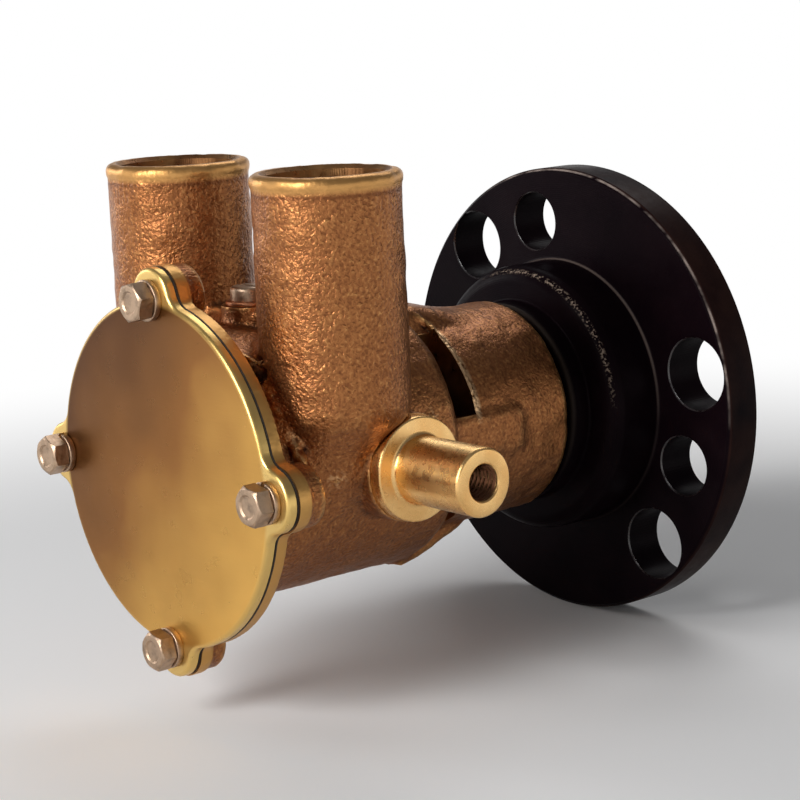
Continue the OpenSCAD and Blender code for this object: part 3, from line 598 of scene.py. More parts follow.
def satin_black():
    """Black coating on turned steel, with painted highlights along its edges on the lit side and a painted
    reflection on its rim.
    """
    black = Finish("satin_black", Specular_IOR_Level=0.025)
    # Picks the lit side, up and to the right, for the painted highlights below.
    upper = black.sums("ADD", black.axis("Z"), black.times(black.axis("X"), 0.6))
    colour = black.blend(black.patches(12, 3), (0.0036, 0.0013, 0.0026), (0.0070, 0.0032, 0.0046))
    # Painted reflection: the rim's side is lighter than the faces, in patches.
    rim = black.level(black.radius("X", "Z"), (FLANGE_R - 0.5) * MM, (FLANGE_R - 0.2) * MM)
    rim = black.times(rim, black.patches(12, 3, between=(0.25, 0.6)))
    colour = black.blend(rim, colour, (0.024, 0.0105, 0.0085))

    # Painted highlights: bright lines on the step, boss, rim and boss foot edges, on the lit side only.
    step_edge_highlight = black.times(black.ring_line(STEP_R - 0.4, S_STEP - 0.4, 0.2, 1.4),
                            black.level(upper, -5 * MM, 20 * MM))
    colour = black.blend(black.times(step_edge_highlight, 0.6), colour, (0.060, 0.046, 0.036))
    boss_edge_highlight = black.times(black.ring_line(BOSS_R - 1.2, S_BOSS - 1.1, 0.25, 1.3),
                            black.level(upper, 20 * MM, 34 * MM))
    painted_edge_highlight = black.times(boss_edge_highlight, black.patches(0.6, 2, between=(0.52, 0.60)))
    colour = black.blend(painted_edge_highlight, colour, (0.34, 0.26, 0.20))
    rim_edge_highlight = black.times(black.ring_line(FLANGE_R - 0.4, S_FLANGE - 0.4, 0.15, 0.55),
                           black.level(upper, 30 * MM, 42 * MM))
    rim_edge_highlight = black.times(rim_edge_highlight, black.patches(5, 2, between=(0.35, 0.6)))
    colour = black.blend(rim_edge_highlight, colour, (0.30, 0.24, 0.21))
    boss_foot_highlight = black.times(black.ring_line(BOSS_R + 0.2, S_FLANGE + 0.3, 0.15, 0.6),
                            black.level(upper, 16 * MM, 34 * MM, 0.12, 1.0))
    colour = black.blend(boss_foot_highlight, colour, (0.10, 0.075, 0.065))

    normal = black.bump(black.lines(0.5, rings=True, warp=0.6), 0.014)
    normal = black.bump(black.lines(0.5, warp=0.6), 0.010, normal)
    normal = black.bump(black.noise(0.7), 0.020, normal)
    return black.done(colour, black.patches(2.5, 3, 0.28, 0.40), normal)


def drilled_black():
    """The chamfered mouths of the flange's holes, glossier than its faces."""
    mouth = Finish("drilled_black", Specular_IOR_Level=0.9)
    tone = mouth.patches(3, 3, between=(0.35, 0.65))
    colour = mouth.blend(tone, (0.0075, 0.0040, 0.0042), (0.018, 0.010, 0.010))
    normal = mouth.bump(mouth.lines(0.6, warp=1.0), 0.03)
    return mouth.done(colour, mouth.patches(1.2, 2, 0.20, 0.34), normal)


def dull_steel(name, tone=(0.56, 0.50, 0.44), rough=(0.30, 0.46), size=1.2, depth=0.03):
    """Plain metal with small scratches and stains."""
    steel = Finish(name, metal=1.0)
    stained = tuple(v * 0.55 for v in tone)
    colour = steel.blend(steel.patches(size * 2.5, 4, rough=0.6, between=(0.30, 0.52)), stained, tone)
    scratches = steel.noise(size * 0.4, place=steel.turned_place(turn=(0, 30, 10), stretch=(0.2, 1, 1)))
    normal = steel.bump(steel.noise(size * 0.7, detail=3), depth)
    normal = steel.bump(scratches, depth * 0.5, normal)
    return steel.done(colour, steel.patches(size, 3, *rough), normal)


def moulded_rubber():
    """Matt black rubber."""
    rubber = Finish("moulded_rubber", rough=0.6, Specular_IOR_Level=0.35)
    colour = rubber.blend(rubber.patches(4, 3), (0.010, 0.010, 0.011), (0.024, 0.023, 0.023))
    return rubber.done(colour, rubber.patches(1.5, 2, 0.50, 0.68), rubber.bump(rubber.noise(0.35), 0.02))


def plain_finish(name, dark, light, rough, size=2.0):
    """A two-tone finish for the hidden ceramic, carbon and gasket pieces."""
    plain = Finish(name)
    colour = plain.blend(plain.patches(size * 2, 3), dark, light)
    roughness = plain.patches(size, 2, rough - 0.08, rough + 0.08)
    return plain.done(colour, roughness, plain.bump(plain.noise(size * 0.3), 0.02))


finishes = {
    "bronze_casting": sand_cast_bronze(),
    "bored_bronze": bored_bronze(),
    "cover_brass": cover_plate_brass(),
    "gasket_fibre": plain_finish("gasket_fibre", (0.020, 0.015, 0.012), (0.045, 0.034, 0.026), 0.75, 0.8),
    "stainless": dull_steel("dull_stainless", (0.47, 0.33, 0.225), (0.34, 0.50), depth=0.06),
    "machined_brass": turned_brass(),
    "copper": dull_steel("copper_washer", (0.55, 0.24, 0.12), (0.32, 0.48)),
    "cam_bronze": dull_steel("cam_bronze", (0.55, 0.32, 0.13), (0.28, 0.42)),
    "black_rubber": moulded_rubber(),
    "ceramic": plain_finish("seat_ceramic", (0.62, 0.60, 0.55), (0.74, 0.72, 0.68), 0.30),
    "carbon": plain_finish("face_carbon", (0.014, 0.014, 0.015), (0.030, 0.030, 0.031), 0.42),
    "shaft_steel": dull_steel("ground_shaft_steel", (0.50, 0.50, 0.51), (0.20, 0.32), depth=0.012),
    "bearing_steel": dull_steel("bearing_race_steel", (0.52, 0.53, 0.55), (0.18, 0.28), depth=0.008),
    "ball_steel": dull_steel("bearing_ball_steel", (0.62, 0.63, 0.65), (0.12, 0.20), depth=0.004),
    "spring_steel": dull_steel("dark_spring_steel", (0.20, 0.20, 0.21), (0.30, 0.44)),
    "black_flange": satin_black(),
    "drilled_black": drilled_black(),
    "zinc_steel": dull_steel("zinc_plated_steel", (0.50, 0.48, 0.43), (0.28, 0.42), size=0.6),
}


# The casting's field

def smooth_min(a, b, reach):
    """The smaller of two distances, with a fillet of about that reach where they meet."""
    share = np.maximum(reach - np.abs(a - b), 0) / reach
    return np.minimum(a, b) - share * share * reach / 4


def smooth_max(a, b, reach):
    return -smooth_min(-a, -b, reach)


def round_bar(across, along, radius, low, high, edge):
    """Distance to a cylinder with rounded edges, from the distance across and the place along."""
    out = across - (radius - edge)
    end = np.maximum(low + edge - along, along - (high - edge))
    return np.minimum(np.maximum(out, end), 0) + np.hypot(np.maximum(out, 0), np.maximum(end, 0)) - edge


def round_box(x, y, z, half, edge):
    """Distance to a box about the origin with rounded edges."""
    parts = [np.abs(v) - (h - edge) for v, h in zip((x, y, z), half)]
    outside = np.sqrt(sum(np.maximum(v, 0) ** 2 for v in parts))
    return outside + np.minimum(np.maximum.reduce(parts), 0) - edge


def worm(x, s, z, path, radius):
    """Distance to a bead of metal laid along a path of (x, station, z) points."""
    nearest = None
    for a, b in zip(path, path[1:]):
        a, run = np.array(a, float), np.array(b, float) - np.array(a, float)
        along = (x - a[0]) * run[0] + (s - a[1]) * run[1] + (z - a[2]) * run[2]
        share = np.clip(along / (run @ run), 0, 1)
        far = np.sqrt((x - a[0] - share * run[0]) ** 2 + (s - a[1] - share * run[1]) ** 2
                      + (z - a[2] - share * run[2]) ** 2)
        nearest = far if nearest is None else np.minimum(nearest, far)
    return nearest - radius


EAR_SIDE = COVER_R + EAR_FILLET_R - 0.05
EAR_REACH = EAR_R + EAR_FILLET_R - 0.05
EAR_TURN = math.acos((EAR_SIDE ** 2 + SCREW_CIRCLE_R ** 2 - EAR_REACH ** 2)
                     / (2 * EAR_SIDE * SCREW_CIRCLE_R))
EAR_HOLLOW = np.array((EAR_SIDE * math.cos(EAR_TURN), EAR_SIDE * math.sin(EAR_TURN)))


def outline_distance(x, z):
    """Distance to the outline shared by cover, gasket and rim: a disc with four ears."""
    a, b = np.abs(x), np.abs(z)
    u, v = np.maximum(a, b), np.minimum(a, b)
    disc_or_ear = np.minimum(np.hypot(u, v) - COVER_R, np.hypot(u - SCREW_CIRCLE_R, v) - EAR_R)
    fillet = EAR_FILLET_R - np.hypot(u - EAR_HOLLOW[0], v - EAR_HOLLOW[1])
    under_side = EAR_HOLLOW[0] * v - EAR_HOLLOW[1] * u < 0
    towards_disc = (EAR_HOLLOW[0] - SCREW_CIRCLE_R) * v - EAR_HOLLOW[1] * (u - SCREW_CIRCLE_R) > 0
    filled = np.minimum(fillet, np.maximum(disc_or_ear, fillet))
    return np.where(under_side & towards_disc, filled, disc_or_ear)


def casting_field(x, s, z):
    """Distance from the casting's outside, before it is bored and faced."""
    from_shaft = np.hypot(x, z)
    barrel = round_bar(from_shaft, s, BARREL_R, S_BARREL, PAST_FACE, 5)
    housing = round_bar(from_shaft, s, NECK_R, S_HOUSE - 0.2, S_SEAT + 2, 1.4)
    ramp = (from_shaft - RAMP_R - RAMP_RISE * (s - S_RAMP)) / RAMP_UNIT
    beside_top = np.abs(np.arctan2(x, np.maximum(z, 0.1))) * BARREL_R
    top_web = smooth_max(smooth_max(ramp, from_shaft - BARREL_R, 3), beside_top - TOP_WEB_HALF, 6.0)
    top_web = np.maximum(smooth_max(top_web, S_TOP_WEB - s, 1.2), s - S_WEB_END)
    drop, forward = -z - UNDER_RAMP[0], s - UNDER_RAMP[1]
    under_ramp = (drop * UNDER_SLOPE[0] - forward * UNDER_SLOPE[1]) / UNDER_UNIT
    under_web = smooth_max(smooth_max(under_ramp, -z - BARREL_R, 3), np.abs(x) - UNDER_WEB_HALF, 1.6)
    under_web = np.maximum(np.maximum(smooth_max(under_web, S_UNDER_WEB - s, 1.2), s - S_WEB_END), z)
    side_pad = round_box(np.abs(x) - PAD_X, s - S_PAD, z, PAD_HALF, 1.6)
    body = barrel
    for form, fillet in ((housing, 1.5), (top_web, 3.0), (under_web, 1.8), (side_pad, 2.6)):
        body = smooth_min(body, form, fillet)

    outline = outline_distance(x, z)
    rim = round_bar(outline, s, 0.0, S_FACE - RIM_T, PAST_FACE, 0.5)
    boss_x, boss_z = np.maximum(np.abs(x), np.abs(z)), np.minimum(np.abs(x), np.abs(z))
    from_ear = np.hypot(boss_x - SCREW_CIRCLE_R, boss_z)
    ear_boss = round_bar(from_ear, s, EAR_R - 0.1, S_FACE - EAR_BOSS_L, PAST_FACE, 1.0)
    body = smooth_min(body, ear_boss, 3.0)
    body = smooth_min(body, rim, 1.6)

    wide = np.abs(x)
    from_port = np.hypot(wide - PORT_X, s - S_PORT)
    port = np.maximum(round_bar(from_port, z, PORT_R, PORT_FLOOR, 90, 6.5), z - PORT_TOP + NECK_BELOW_TOP)
    bead = round_bar(from_port, z, PORT_R + BEAD_OUT, PORT_TOP - BEAD_L, PORT_TOP, 1.75)
    from_foot = zip((wide - FOOT_X, s - S_PORT, z - FOOT_Z), FOOT_SIZE)
    foot = np.sqrt(sum((away / half) ** 2 for away, half in from_foot))
    column = smooth_min(port, (foot - 1) * FOOT_SIZE[2], 9.0)
    body = smooth_min(body, column, 4.5)
    body = smooth_min(body, bead, 0.5)

    land = round_box(x, s - S_LAND, z - LAND_Z, LAND_HALF, 0.9)
    cam_boss = round_bar(np.hypot(x, s - S_CAM_SCREW), z, CAM_BOSS_R, 0, CAM_SEAT_Z + TRIM, 0.4)
    body = smooth_min(body, land, 1.2)
    body = smooth_min(body, cam_boss, 1.4)
    lug = round_bar(np.hypot(s - S_STUD, z), x, LUG_R, 10, LUG_X + TRIM, 0.9)
    body = smooth_min(body, lug, 1.0)

    body = smooth_min(body, worm(x, s, z, FILLET_RIDGE, 1.5), 0.8)
    body = smooth_max(body, -worm(x, s, z, NOTCH, 2.2), 0.4)
    body = smooth_min(body, worm(x, s, z, FLASH_LINE, 0.55), 0.4)
    body = smooth_min(body, worm(wide, s, z, WINDOW_EDGE, 0.6), 0.4)
    body = smooth_min(body, worm(x, s, z, PORT_FLAW, 0.4), 0.4)
    for place in NODULES:
        body = smooth_min(body, np.sqrt(sum((v - at) ** 2 for v, at in zip((x, s, z), place))) - 0.7, 0.3)
    return np.maximum(body, s - S_FACE - 1)


LATTICE = np.random.default_rng(7).random((64, 64, 64)) * 2 - 1


def lumpiness(points, size, shift):
    """Smooth noise from -1 to 1 that changes over a size."""
    place = points / size + shift
    whole = np.floor(place).astype(int)
    part = place - whole
    part = part * part * (3 - 2 * part)
    total = np.zeros(len(points))
    for corner in itertools.product((0, 1), repeat=3):
        at = (whole + corner) & 63
        weight = np.prod(np.where(corner, part, 1 - part), axis=1)
        total += LATTICE[at[:, 0], at[:, 1], at[:, 2]] * weight
    return total


def part_diagonals(inside, values, step):
    """Fills one corner of each grid square whose inside corners touch only diagonally.

    The surface would pass twice through such a square's edges. Returns how many there were.
    """
    found = 0
    for axis in range(3):
        views = []
        a, b = [n for n in range(3) if n != axis]
        for da, db in ((0, 0), (1, 0), (1, 1), (0, 1)):
            cut = [slice(None)] * 3
            cut[a] = slice(da, inside.shape[a] - 1 + da)
            cut[b] = slice(db, inside.shape[b] - 1 + db)
            views.append(tuple(cut))
        p, q, r, t = (inside[view] for view in views)
        for diagonal, view in ((p & r & ~q & ~t, views[1]), (q & t & ~p & ~r, views[0])):
            at = np.argwhere(diagonal)
            found += len(at)
            if len(at):
                corner = tuple((at + [0 if part.start is None else part.start for part in view]).T)
                inside[corner] = True
                values[corner] = -0.02 * step
    return found


def cast_mesh(field, low, high, step):
    """Points and outward quads of the field's zero surface, one point for each crossed cell."""
    block_n = 4
    counts = np.ceil((np.array(high) - low) / (step * block_n)).astype(int)
    origin = np.array(low, float)
    centre = [origin[a] + (np.arange(counts[a]) * block_n + (block_n - 1) / 2) * step for a in range(3)]
    coarse = field(*np.meshgrid(*centre, indexing="ij"))
    values = coarse
    for a in range(3):
        values = np.repeat(values, block_n, axis=a)
    near = np.argwhere(np.abs(coarse) < step * block_n)
    offsets = np.array(list(itertools.product(range(block_n), repeat=3)))
    samples = (near[:, None, :] * block_n + offsets[None]).reshape(-1, 3)
    where = origin + samples * step
    values[tuple(samples.T)] = field(*where.T)

    inside = values < 0
    for _ in range(6):
        if not part_diagonals(inside, values, step):
            break
    corners = list(itertools.product((0, 1), repeat=3))
    size = np.array(values.shape) - 1
    full = np.zeros(size, np.int8)
    for c in corners:
        full += inside[c[0]:c[0] + size[0], c[1]:c[1] + size[1], c[2]:c[2] + size[2]]
    cells = np.argwhere((full > 0) & (full < 8))
    number = np.full(size, -1)
    number[tuple(cells.T)] = np.arange(len(cells))
    total, hits = np.zeros((len(cells), 3)), np.zeros(len(cells))
    for a, b in itertools.combinations(range(8), 2):
        ca, cb = np.array(corners[a]), np.array(corners[b])
        if np.abs(ca - cb).sum() != 1:
            continue
        va = values[tuple((cells + ca).T)]
        vb = values[tuple((cells + cb).T)]
        crossed = (va < 0) != (vb < 0)
        share = np.where(crossed, va / np.where(va == vb, 1, va - vb), 0)
        total += np.where(crossed[:, None], ca + share[:, None] * (cb - ca), 0)
        hits += crossed
    points = origin + (cells + total / hits[:, None]) * step

    quads = []
    for axis in range(3):
        others = [a for a in range(3) if a != axis]
        first = [slice(1, None) if a in others else slice(0, -1) for a in range(3)]
        second = [slice(1, None) for a in range(3)]
        here, ahead = inside[tuple(first)], inside[tuple(second)]
        edges = np.argwhere(here != ahead)
        if not len(edges):
            continue
        leaving = here[tuple(edges.T)]
        base = edges.copy()
        ring = []
        for da, db in ((0, 0), (1, 0), (1, 1), (0, 1)):
            cell = base.copy()
            cell[:, others[0]] += da
            cell[:, others[1]] += db
            ring.append(cell)
        inner = np.all([(c < size).all(axis=1) for c in ring], axis=0)
        quad = np.stack([number[tuple(np.minimum(c, size - 1).T)] for c in ring], axis=1)
        turn = leaving if axis != 1 else ~leaving
        quad = np.where(turn[:, None], quad, quad[:, ::-1])
        quads.append(quad[inner])
    return points, np.concatenate(quads)


def slope(field, points, reach=0.05):
    """The field's gradient at points, by differences."""
    columns = []
    for a in range(3):
        step = np.zeros(3)
        step[a] = reach
        ahead, back = points + step, points - step
        columns.append((field(*ahead.T) - field(*back.T)) / (2 * reach))
    return np.stack(columns, axis=1)


def pump_casting():
    """The sand-cast body, bored and faced like the part's solid."""
    step = 0.74
    low = (-51, S_HOUSE - 3, -51)
    high = (51, S_FACE + 5, PORT_TOP + 4)
    points, quads = cast_mesh(casting_field, low, high, step)
    for _ in range(2):
        gradient = slope(casting_field, points)
        length = np.maximum((gradient ** 2).sum(axis=1), 0.2)
        points = points - (casting_field(*points.T) / length)[:, None] * gradient
    gradient = slope(casting_field, points)
    gradient /= np.linalg.norm(gradient, axis=1)[:, None]
    rough_cast = 0.16 * lumpiness(points, 4.2, shift=3.1) + 0.10 * lumpiness(points, 1.9, shift=17.7)
    ridge = np.clip(1.6 - worm(*points.T, FILLET_RIDGE, 1.5) / 0.8, 0, 1)
    rough_cast += ridge * 0.55 * lumpiness(points, 1.7, shift=40.2)
    neat = np.clip((S_FACE - RIM_T - 0.2 - points[:, 1]) / 1.2, 0.08, 1)
    points = points + (rough_cast * neat)[:, None] * gradient
    points[:, 2] = np.minimum(points[:, 2], PORT_TOP)
    points[:, 1] *= -1
    casting = make_piece("pump_casting", points, quads, outward=False)
    dress(casting, "bronze_casting", "bored_bronze")
    turn_faces_out(casting)

    bore = lathe("bore", [
        (0, S_HOUSE - 6), (BEARING_R, S_HOUSE - 6), (BEARING_R, S_CLIP), (CLIP_GROOVE_R, S_CLIP),
        (CLIP_GROOVE_R, S_CLIP + CLIP_GROOVE_W), (BEARING_R, S_CLIP + CLIP_GROOVE_W),
        (BEARING_R, S_SHOULDER), (LIP_BORE_R, S_SHOULDER), (LIP_BORE_R, S_WINDOW), (DRAIN_R, S_WINDOW),
        (DRAIN_R, S_BARREL),
        (SHOULDER_R, S_BARREL), (SHOULDER_R, S_SEAT), (SEAT_BORE_R, S_SEAT), (SEAT_BORE_R, S_CAVITY),
        (CAVITY_R, S_CAVITY), (CAVITY_R, S_FLOOR), (CHAMBER_R, S_FLOOR), (CHAMBER_R, S_FACE + 2),
        (0, S_FACE + 2),
    ])
    far = 90
    carve(casting, gather(bore, screw_holes(SCREW_TAP_R, S_FACE - EAR_BOSS_L + 1, S_FACE + 2, 24)))
    carve(casting, gather(
        block((-far, S_FACE, -far), (far, S_FACE + 20, far)),
        block((-far, S_HOUSE - 20, -far), (far, S_HOUSE, far)),
        drill("lug_face", LUG_R - 0.1, LUG_X, LUG_X + 20, place_x),
        drill("cam_face", CAM_FACE_R, CAM_SEAT_Z, CAM_SEAT_Z + 4, place_z(0, S_CAM_SCREW)),
    ))
    mouths, pockets = [], []
    mouth_chamfer, past = 0.9, 0.8
    pocket_r, pocket_top = PORT_BORE_R - 0.5, MOUTH_FLOOR + 1
    for side in (-1, 1):
        place = place_z(side * PORT_X, S_PORT)
        mouths.append(lathe("mouth", [
            (0, MOUTH_FLOOR), (PORT_BORE_R, MOUTH_FLOOR), (PORT_BORE_R, PORT_TOP - mouth_chamfer),
            (PORT_BORE_R + mouth_chamfer + past, PORT_TOP + past), (0, PORT_TOP + past)], place))
        pockets.append(lathe("pocket", rounded([
            (0, POCKET_FLOOR, 0), (pocket_r, POCKET_FLOOR, 4.0), (pocket_r, pocket_top, 0),
            (0, pocket_top, 0)]), place))
    for pocket in pockets:
        carve(pocket, block((-60, 40, 0), (60, S_PLATE, 40)))
    windows = [
        lathe("window", [(DRAIN_R - 1, S_WINDOW), (BARREL_R + 2, S_WINDOW), (BARREL_R + 2, S_BARREL),
                         (DRAIN_R - 1, S_BARREL)], place_y, 24, start, sweep)
        for start, sweep in WINDOWS
    ]
    stud_hole = drill("stud_hole", STUD_TAP_R, LUG_X - 8.6, LUG_X + 2, place_x, 48)
    cam_hole = drill("cam_hole", SCREW_CLEAR_R, 20, CAM_SEAT_Z + 2, place_z(0, S_CAM_SCREW), 32)
    carve(casting, gather(*mouths, *windows, stud_hole, cam_hole))
    carve(casting, gather(*pockets))
    hand_over(casting, "pump", "pump_body", 38)


# Cover and fasteners

def outline_points(inset, per_arc=14):
    """The cover's outline moved in by an inset, as (x, z) points; every inset has as many."""
    def arc(centre, radius, start, end, steps, first, last):
        turns = [start + (end - start) * k / steps for k in range(first, last)]
        return [(centre[0] + radius * math.cos(a), centre[1] + radius * math.sin(a)) for a in turns]

    ear_turn = math.atan2(EAR_HOLLOW[1], EAR_HOLLOW[0] - SCREW_CIRCLE_R)
    start, end, half = ear_turn + math.pi, EAR_TURN + math.pi, per_arc // 2
    fillet_r = EAR_FILLET_R + inset
    part = arc((SCREW_CIRCLE_R, 0), EAR_R - inset, -ear_turn, ear_turn, per_arc, 0, per_arc + 1)
    part += arc(EAR_HOLLOW, fillet_r, start, end, half, 1, half + 1)
    part += arc((0, 0), COVER_R - inset, EAR_TURN, math.pi / 2 - EAR_TURN, 2 * per_arc, 1, 2 * per_arc)
    part += [(-z, x) for x, z in arc(EAR_HOLLOW * (1, -1), fillet_r, -end, -start, half, 0, half)]
    points = []
    for quarter in range(4):
        along, across = math.cos(math.pi / 2 * quarter), math.sin(math.pi / 2 * quarter)
        points += [(x * along - z * across, x * across + z * along) for x, z in part]
    return points


def cover_plate():
    """The pressed plate with its rounded front edge, and a hole under each washer."""
    edge_r = 0.95
    rows = [(0.25, S_COVER), (0.0, S_COVER + 0.25), (0.0, S_FRONT - edge_r)]
    for a in (15, 30, 45, 60, 75, 90):
        bend = math.radians(a)
        rows.append((edge_r * (1 - math.cos(bend)), S_FRONT - edge_r * (1 - math.sin(bend))))
    rows.append((1.5, S_FRONT))
    points, rings = [], []
    for inset, station in rows:
        outline = outline_points(inset)
        rings.append(range(len(points), len(points) + len(outline)))
        points += [(x, -station, z) for x, z in outline]
    plate = make_piece("cover_plate", points, bands(rings) + [rings[0], rings[-1]])
    dress(plate, "cover_brass")
    carve(plate, screw_holes(SCREW_CLEAR_R, S_COVER - 1, S_FRONT + 1, 32))
    hand_over(plate, "pump", "end_cover")


def hexagon_bolt(name, flats, head_h, shank_r, shank_l, dish=0.0, chamfer=0.12, place=place_y):
    """A hexagon head chamfered to a circle, with a dished top, and its shank below."""
    half = flats / 2
    mark = half * 0.94

    def hexagon(a):
        return half / math.cos((a + math.pi / 6) % (math.pi / 3) - math.pi / 6)

    def shoulder(drop):
        return lambda a: head_h - max(0.0, hexagon(a) - mark) * 0.62 - drop

    return polar_solid(name, [
        (shank_r - 0.4, -shank_l), (shank_r, -shank_l + 0.5), (shank_r, 0.0),
        (half * 0.93, 0.0), (half * 0.95, 0.2), (lambda a: hexagon(a) - 0.08, 0.28), (hexagon, 0.42),
        (hexagon, shoulder(chamfer)), (lambda a: hexagon(a) - chamfer * 0.6, shoulder(chamfer * 0.2)),
        (mark, head_h - 0.04), (mark - 0.25, head_h), (half * 0.66, head_h - dish * 0.1),
        (half * 0.56, head_h - dish), (half * 0.2, head_h - dish),
    ], place, 72)


def ring_of_copies(seed, finish):
    """Geometry Nodes: copies of the object's own mesh on a circle about the shaft."""
    group = bpy.data.node_groups.new("ring_of_copies", "GeometryNodeTree")
    for label, kind in (("Geometry", "Geometry"), ("Circle radius", "Float"), ("Count", "Int"),
                        ("Forward", "Float"), ("Turn spread", "Float"), ("Lean spread", "Float")):
        group.interface.new_socket(label, in_out="INPUT", socket_type="NodeSocket" + kind)
    group.interface.new_socket("Geometry", in_out="OUTPUT", socket_type="NodeSocketGeometry")
    nodes = Nodes(group)
    given = nodes.add("NodeGroupInput").outputs
    circle = nodes.wire(nodes.add("GeometryNodeMeshCircle"), "Mesh",
                        Radius=given["Circle radius"], Vertices=given["Count"])
    forward = nodes.wire(nodes.add("ShaderNodeCombineXYZ"), Y=nodes.times(given["Forward"], -1))
    upright = nodes.wire(nodes.add("GeometryNodeTransform"), Geometry=circle, Translation=forward,
                         Rotation=(math.pi / 2, 0, 0))
    turns = []
    for spread, salt in (("Turn spread", 0), ("Lean spread", 1)):
        pick = nodes.add("FunctionNodeRandomValue", data_type="FLOAT")
        pick.inputs["Seed"].default_value = seed + salt
        nodes.feed(pick.inputs[2], nodes.times(given[spread], -1))
        nodes.feed(pick.inputs[3], given[spread])
        turns.append(pick.outputs[1])
    aim = nodes.wire(nodes.add("ShaderNodeCombineXYZ"), X=turns[1], Y=turns[0])
    copies = nodes.wire(nodes.add("GeometryNodeInstanceOnPoints"), Points=upright,
                        Instance=given["Geometry"], Rotation=aim)
    real = nodes.wire(nodes.add("GeometryNodeRealizeInstances"), Geometry=copies)
    coat = nodes.wire(nodes.add("GeometryNodeSetMaterial"), Geometry=real, Material=finish)
    nodes.feed(nodes.add("NodeGroupOutput").inputs["Geometry"], coat)
    return group


def copy_round(piece, seed, finish, forward, turn_spread=math.pi, lean_spread=0.0):
    """Lays a copy of a piece on each screw's place and makes them its mesh."""
    grow = piece.modifiers.new("copies", "NODES")
    grow.node_group = ring_of_copies(seed, finish)
    settings = {"Circle radius": SCREW_CIRCLE_R * MM, "Count": len(SCREW_TURNS), "Forward": forward * MM,
                "Turn spread": turn_spread, "Lean spread": lean_spread}
    for item in grow.node_group.interface.items_tree:
        if item.in_out == "INPUT" and item.name in settings:
            grow[item.identifier] = settings[item.name]
    settle(piece)


def cover_fasteners():
    """The four cover screws and their split lock washers."""
    screws = hexagon_bolt("cover_screw_set", 8.0, 4.0, SCREW_R, 10.2, dish=0.35)
    dress(screws, "stainless")
    copy_round(screws, 11, finishes["stainless"], S_FRONT + WASHER_T)
    hand_over(screws, "pump", "cover_screws", 24)

    outer = 4.6
    washers = lathe("lock_washer_set", rounded([
        (SCREW_CLEAR_R, 0.0, 0.12), (outer, 0.0, 0.25), (outer, WASHER_T, 0.25),
        (SCREW_CLEAR_R, WASHER_T, 0.12)], 3), place_y, 60, 7, 346)
    dress(washers, "stainless")
    copy_round(washers, 23, finishes["stainless"], S_FRONT)
    hand_over(washers, "pump", "cover_lock_washers")


def cam_fasteners():
    """The slotted screw that holds the cam, and its sealing washer."""
    seat = CAM_SEAT_Z + CAM_WASHER_T
    head_r, top = 4.3, seat + 3.2
    upright = place_z(0, S_CAM_SCREW)
    screw = lathe("cam_slot_screw", rounded([
        (0, 24.7, 0), (2.0, 24.7, 0), (SCREW_R, 25.3, 0), (SCREW_R, seat, 0), (head_r, seat, 0.15),
        (head_r, top, 0.9), (2.0, top, 0), (0, top, 0)]), upright, 64)
    dress(screw, "stainless")
    carve(screw, block((-6, S_CAM_SCREW - 0.6, seat + 1.8), (6, S_CAM_SCREW + 0.6, seat + 5)))
    hand_over(screw, "pump", "cam_screw")

    outer = 5.4
    washer = lathe("cam_sealing_washer", rounded([
        (SCREW_CLEAR_R, CAM_SEAT_Z, 0.1), (outer, CAM_SEAT_Z, 0.3), (outer, seat, 0.3),
        (SCREW_CLEAR_R, seat, 0.1)]), upright, 64)
    dress(washer, "copper")
    hand_over(washer, "pump", "cam_screw_washer")


# Stud and flange

def torque_stud():
    """Turned stud whose hole has a real M8 thread, cut into the hole's wall."""
    root = LUG_X - 8.2
    mouth_r = STUD_HOLE_R + 0.9
    outside = rounded([
        (0, root, 0), (4.4, root, 0), (4.98, root + 0.6, 0), (4.98, LUG_X, 0),
        (COLLAR_R, LUG_X, 0.2), (COLLAR_R, LUG_X + COLLAR_T, 0.45), (STUD_R, LUG_X + COLLAR_T, 0.9),
        (STUD_R, STUD_END, 0.7), (mouth_r, STUD_END, 0.12)])[:-1]
    thread_depth = 0.6
    hole_floor = STUD_END - 15
    rows = list(outside[1:])
    along = STUD_END - 0.02
    while along > hole_floor + 0.02:
        countersink = mouth_r - (STUD_END - along)
        fade = min(1.0, (along - hole_floor) / 3.0)

        def wall(a, at=along, least=countersink, fade=fade):
            phase = (at / THREAD_PITCH - a / (2 * math.pi)) % 1
            tooth = min(1.0, max(0.0, 1.35 - abs(phase - 0.5) * 3.1))
            return max(least, STUD_HOLE_R + thread_depth * tooth * fade)
        rows.append((wall, along))
        along -= THREAD_PITCH / 9
    stud = polar_solid("turned_torque_stud", rows, place_x, 96, (root, hole_floor))
    dress(stud, "machined_brass")
    hand_over(stud, "pump", "torque_stud", 40)


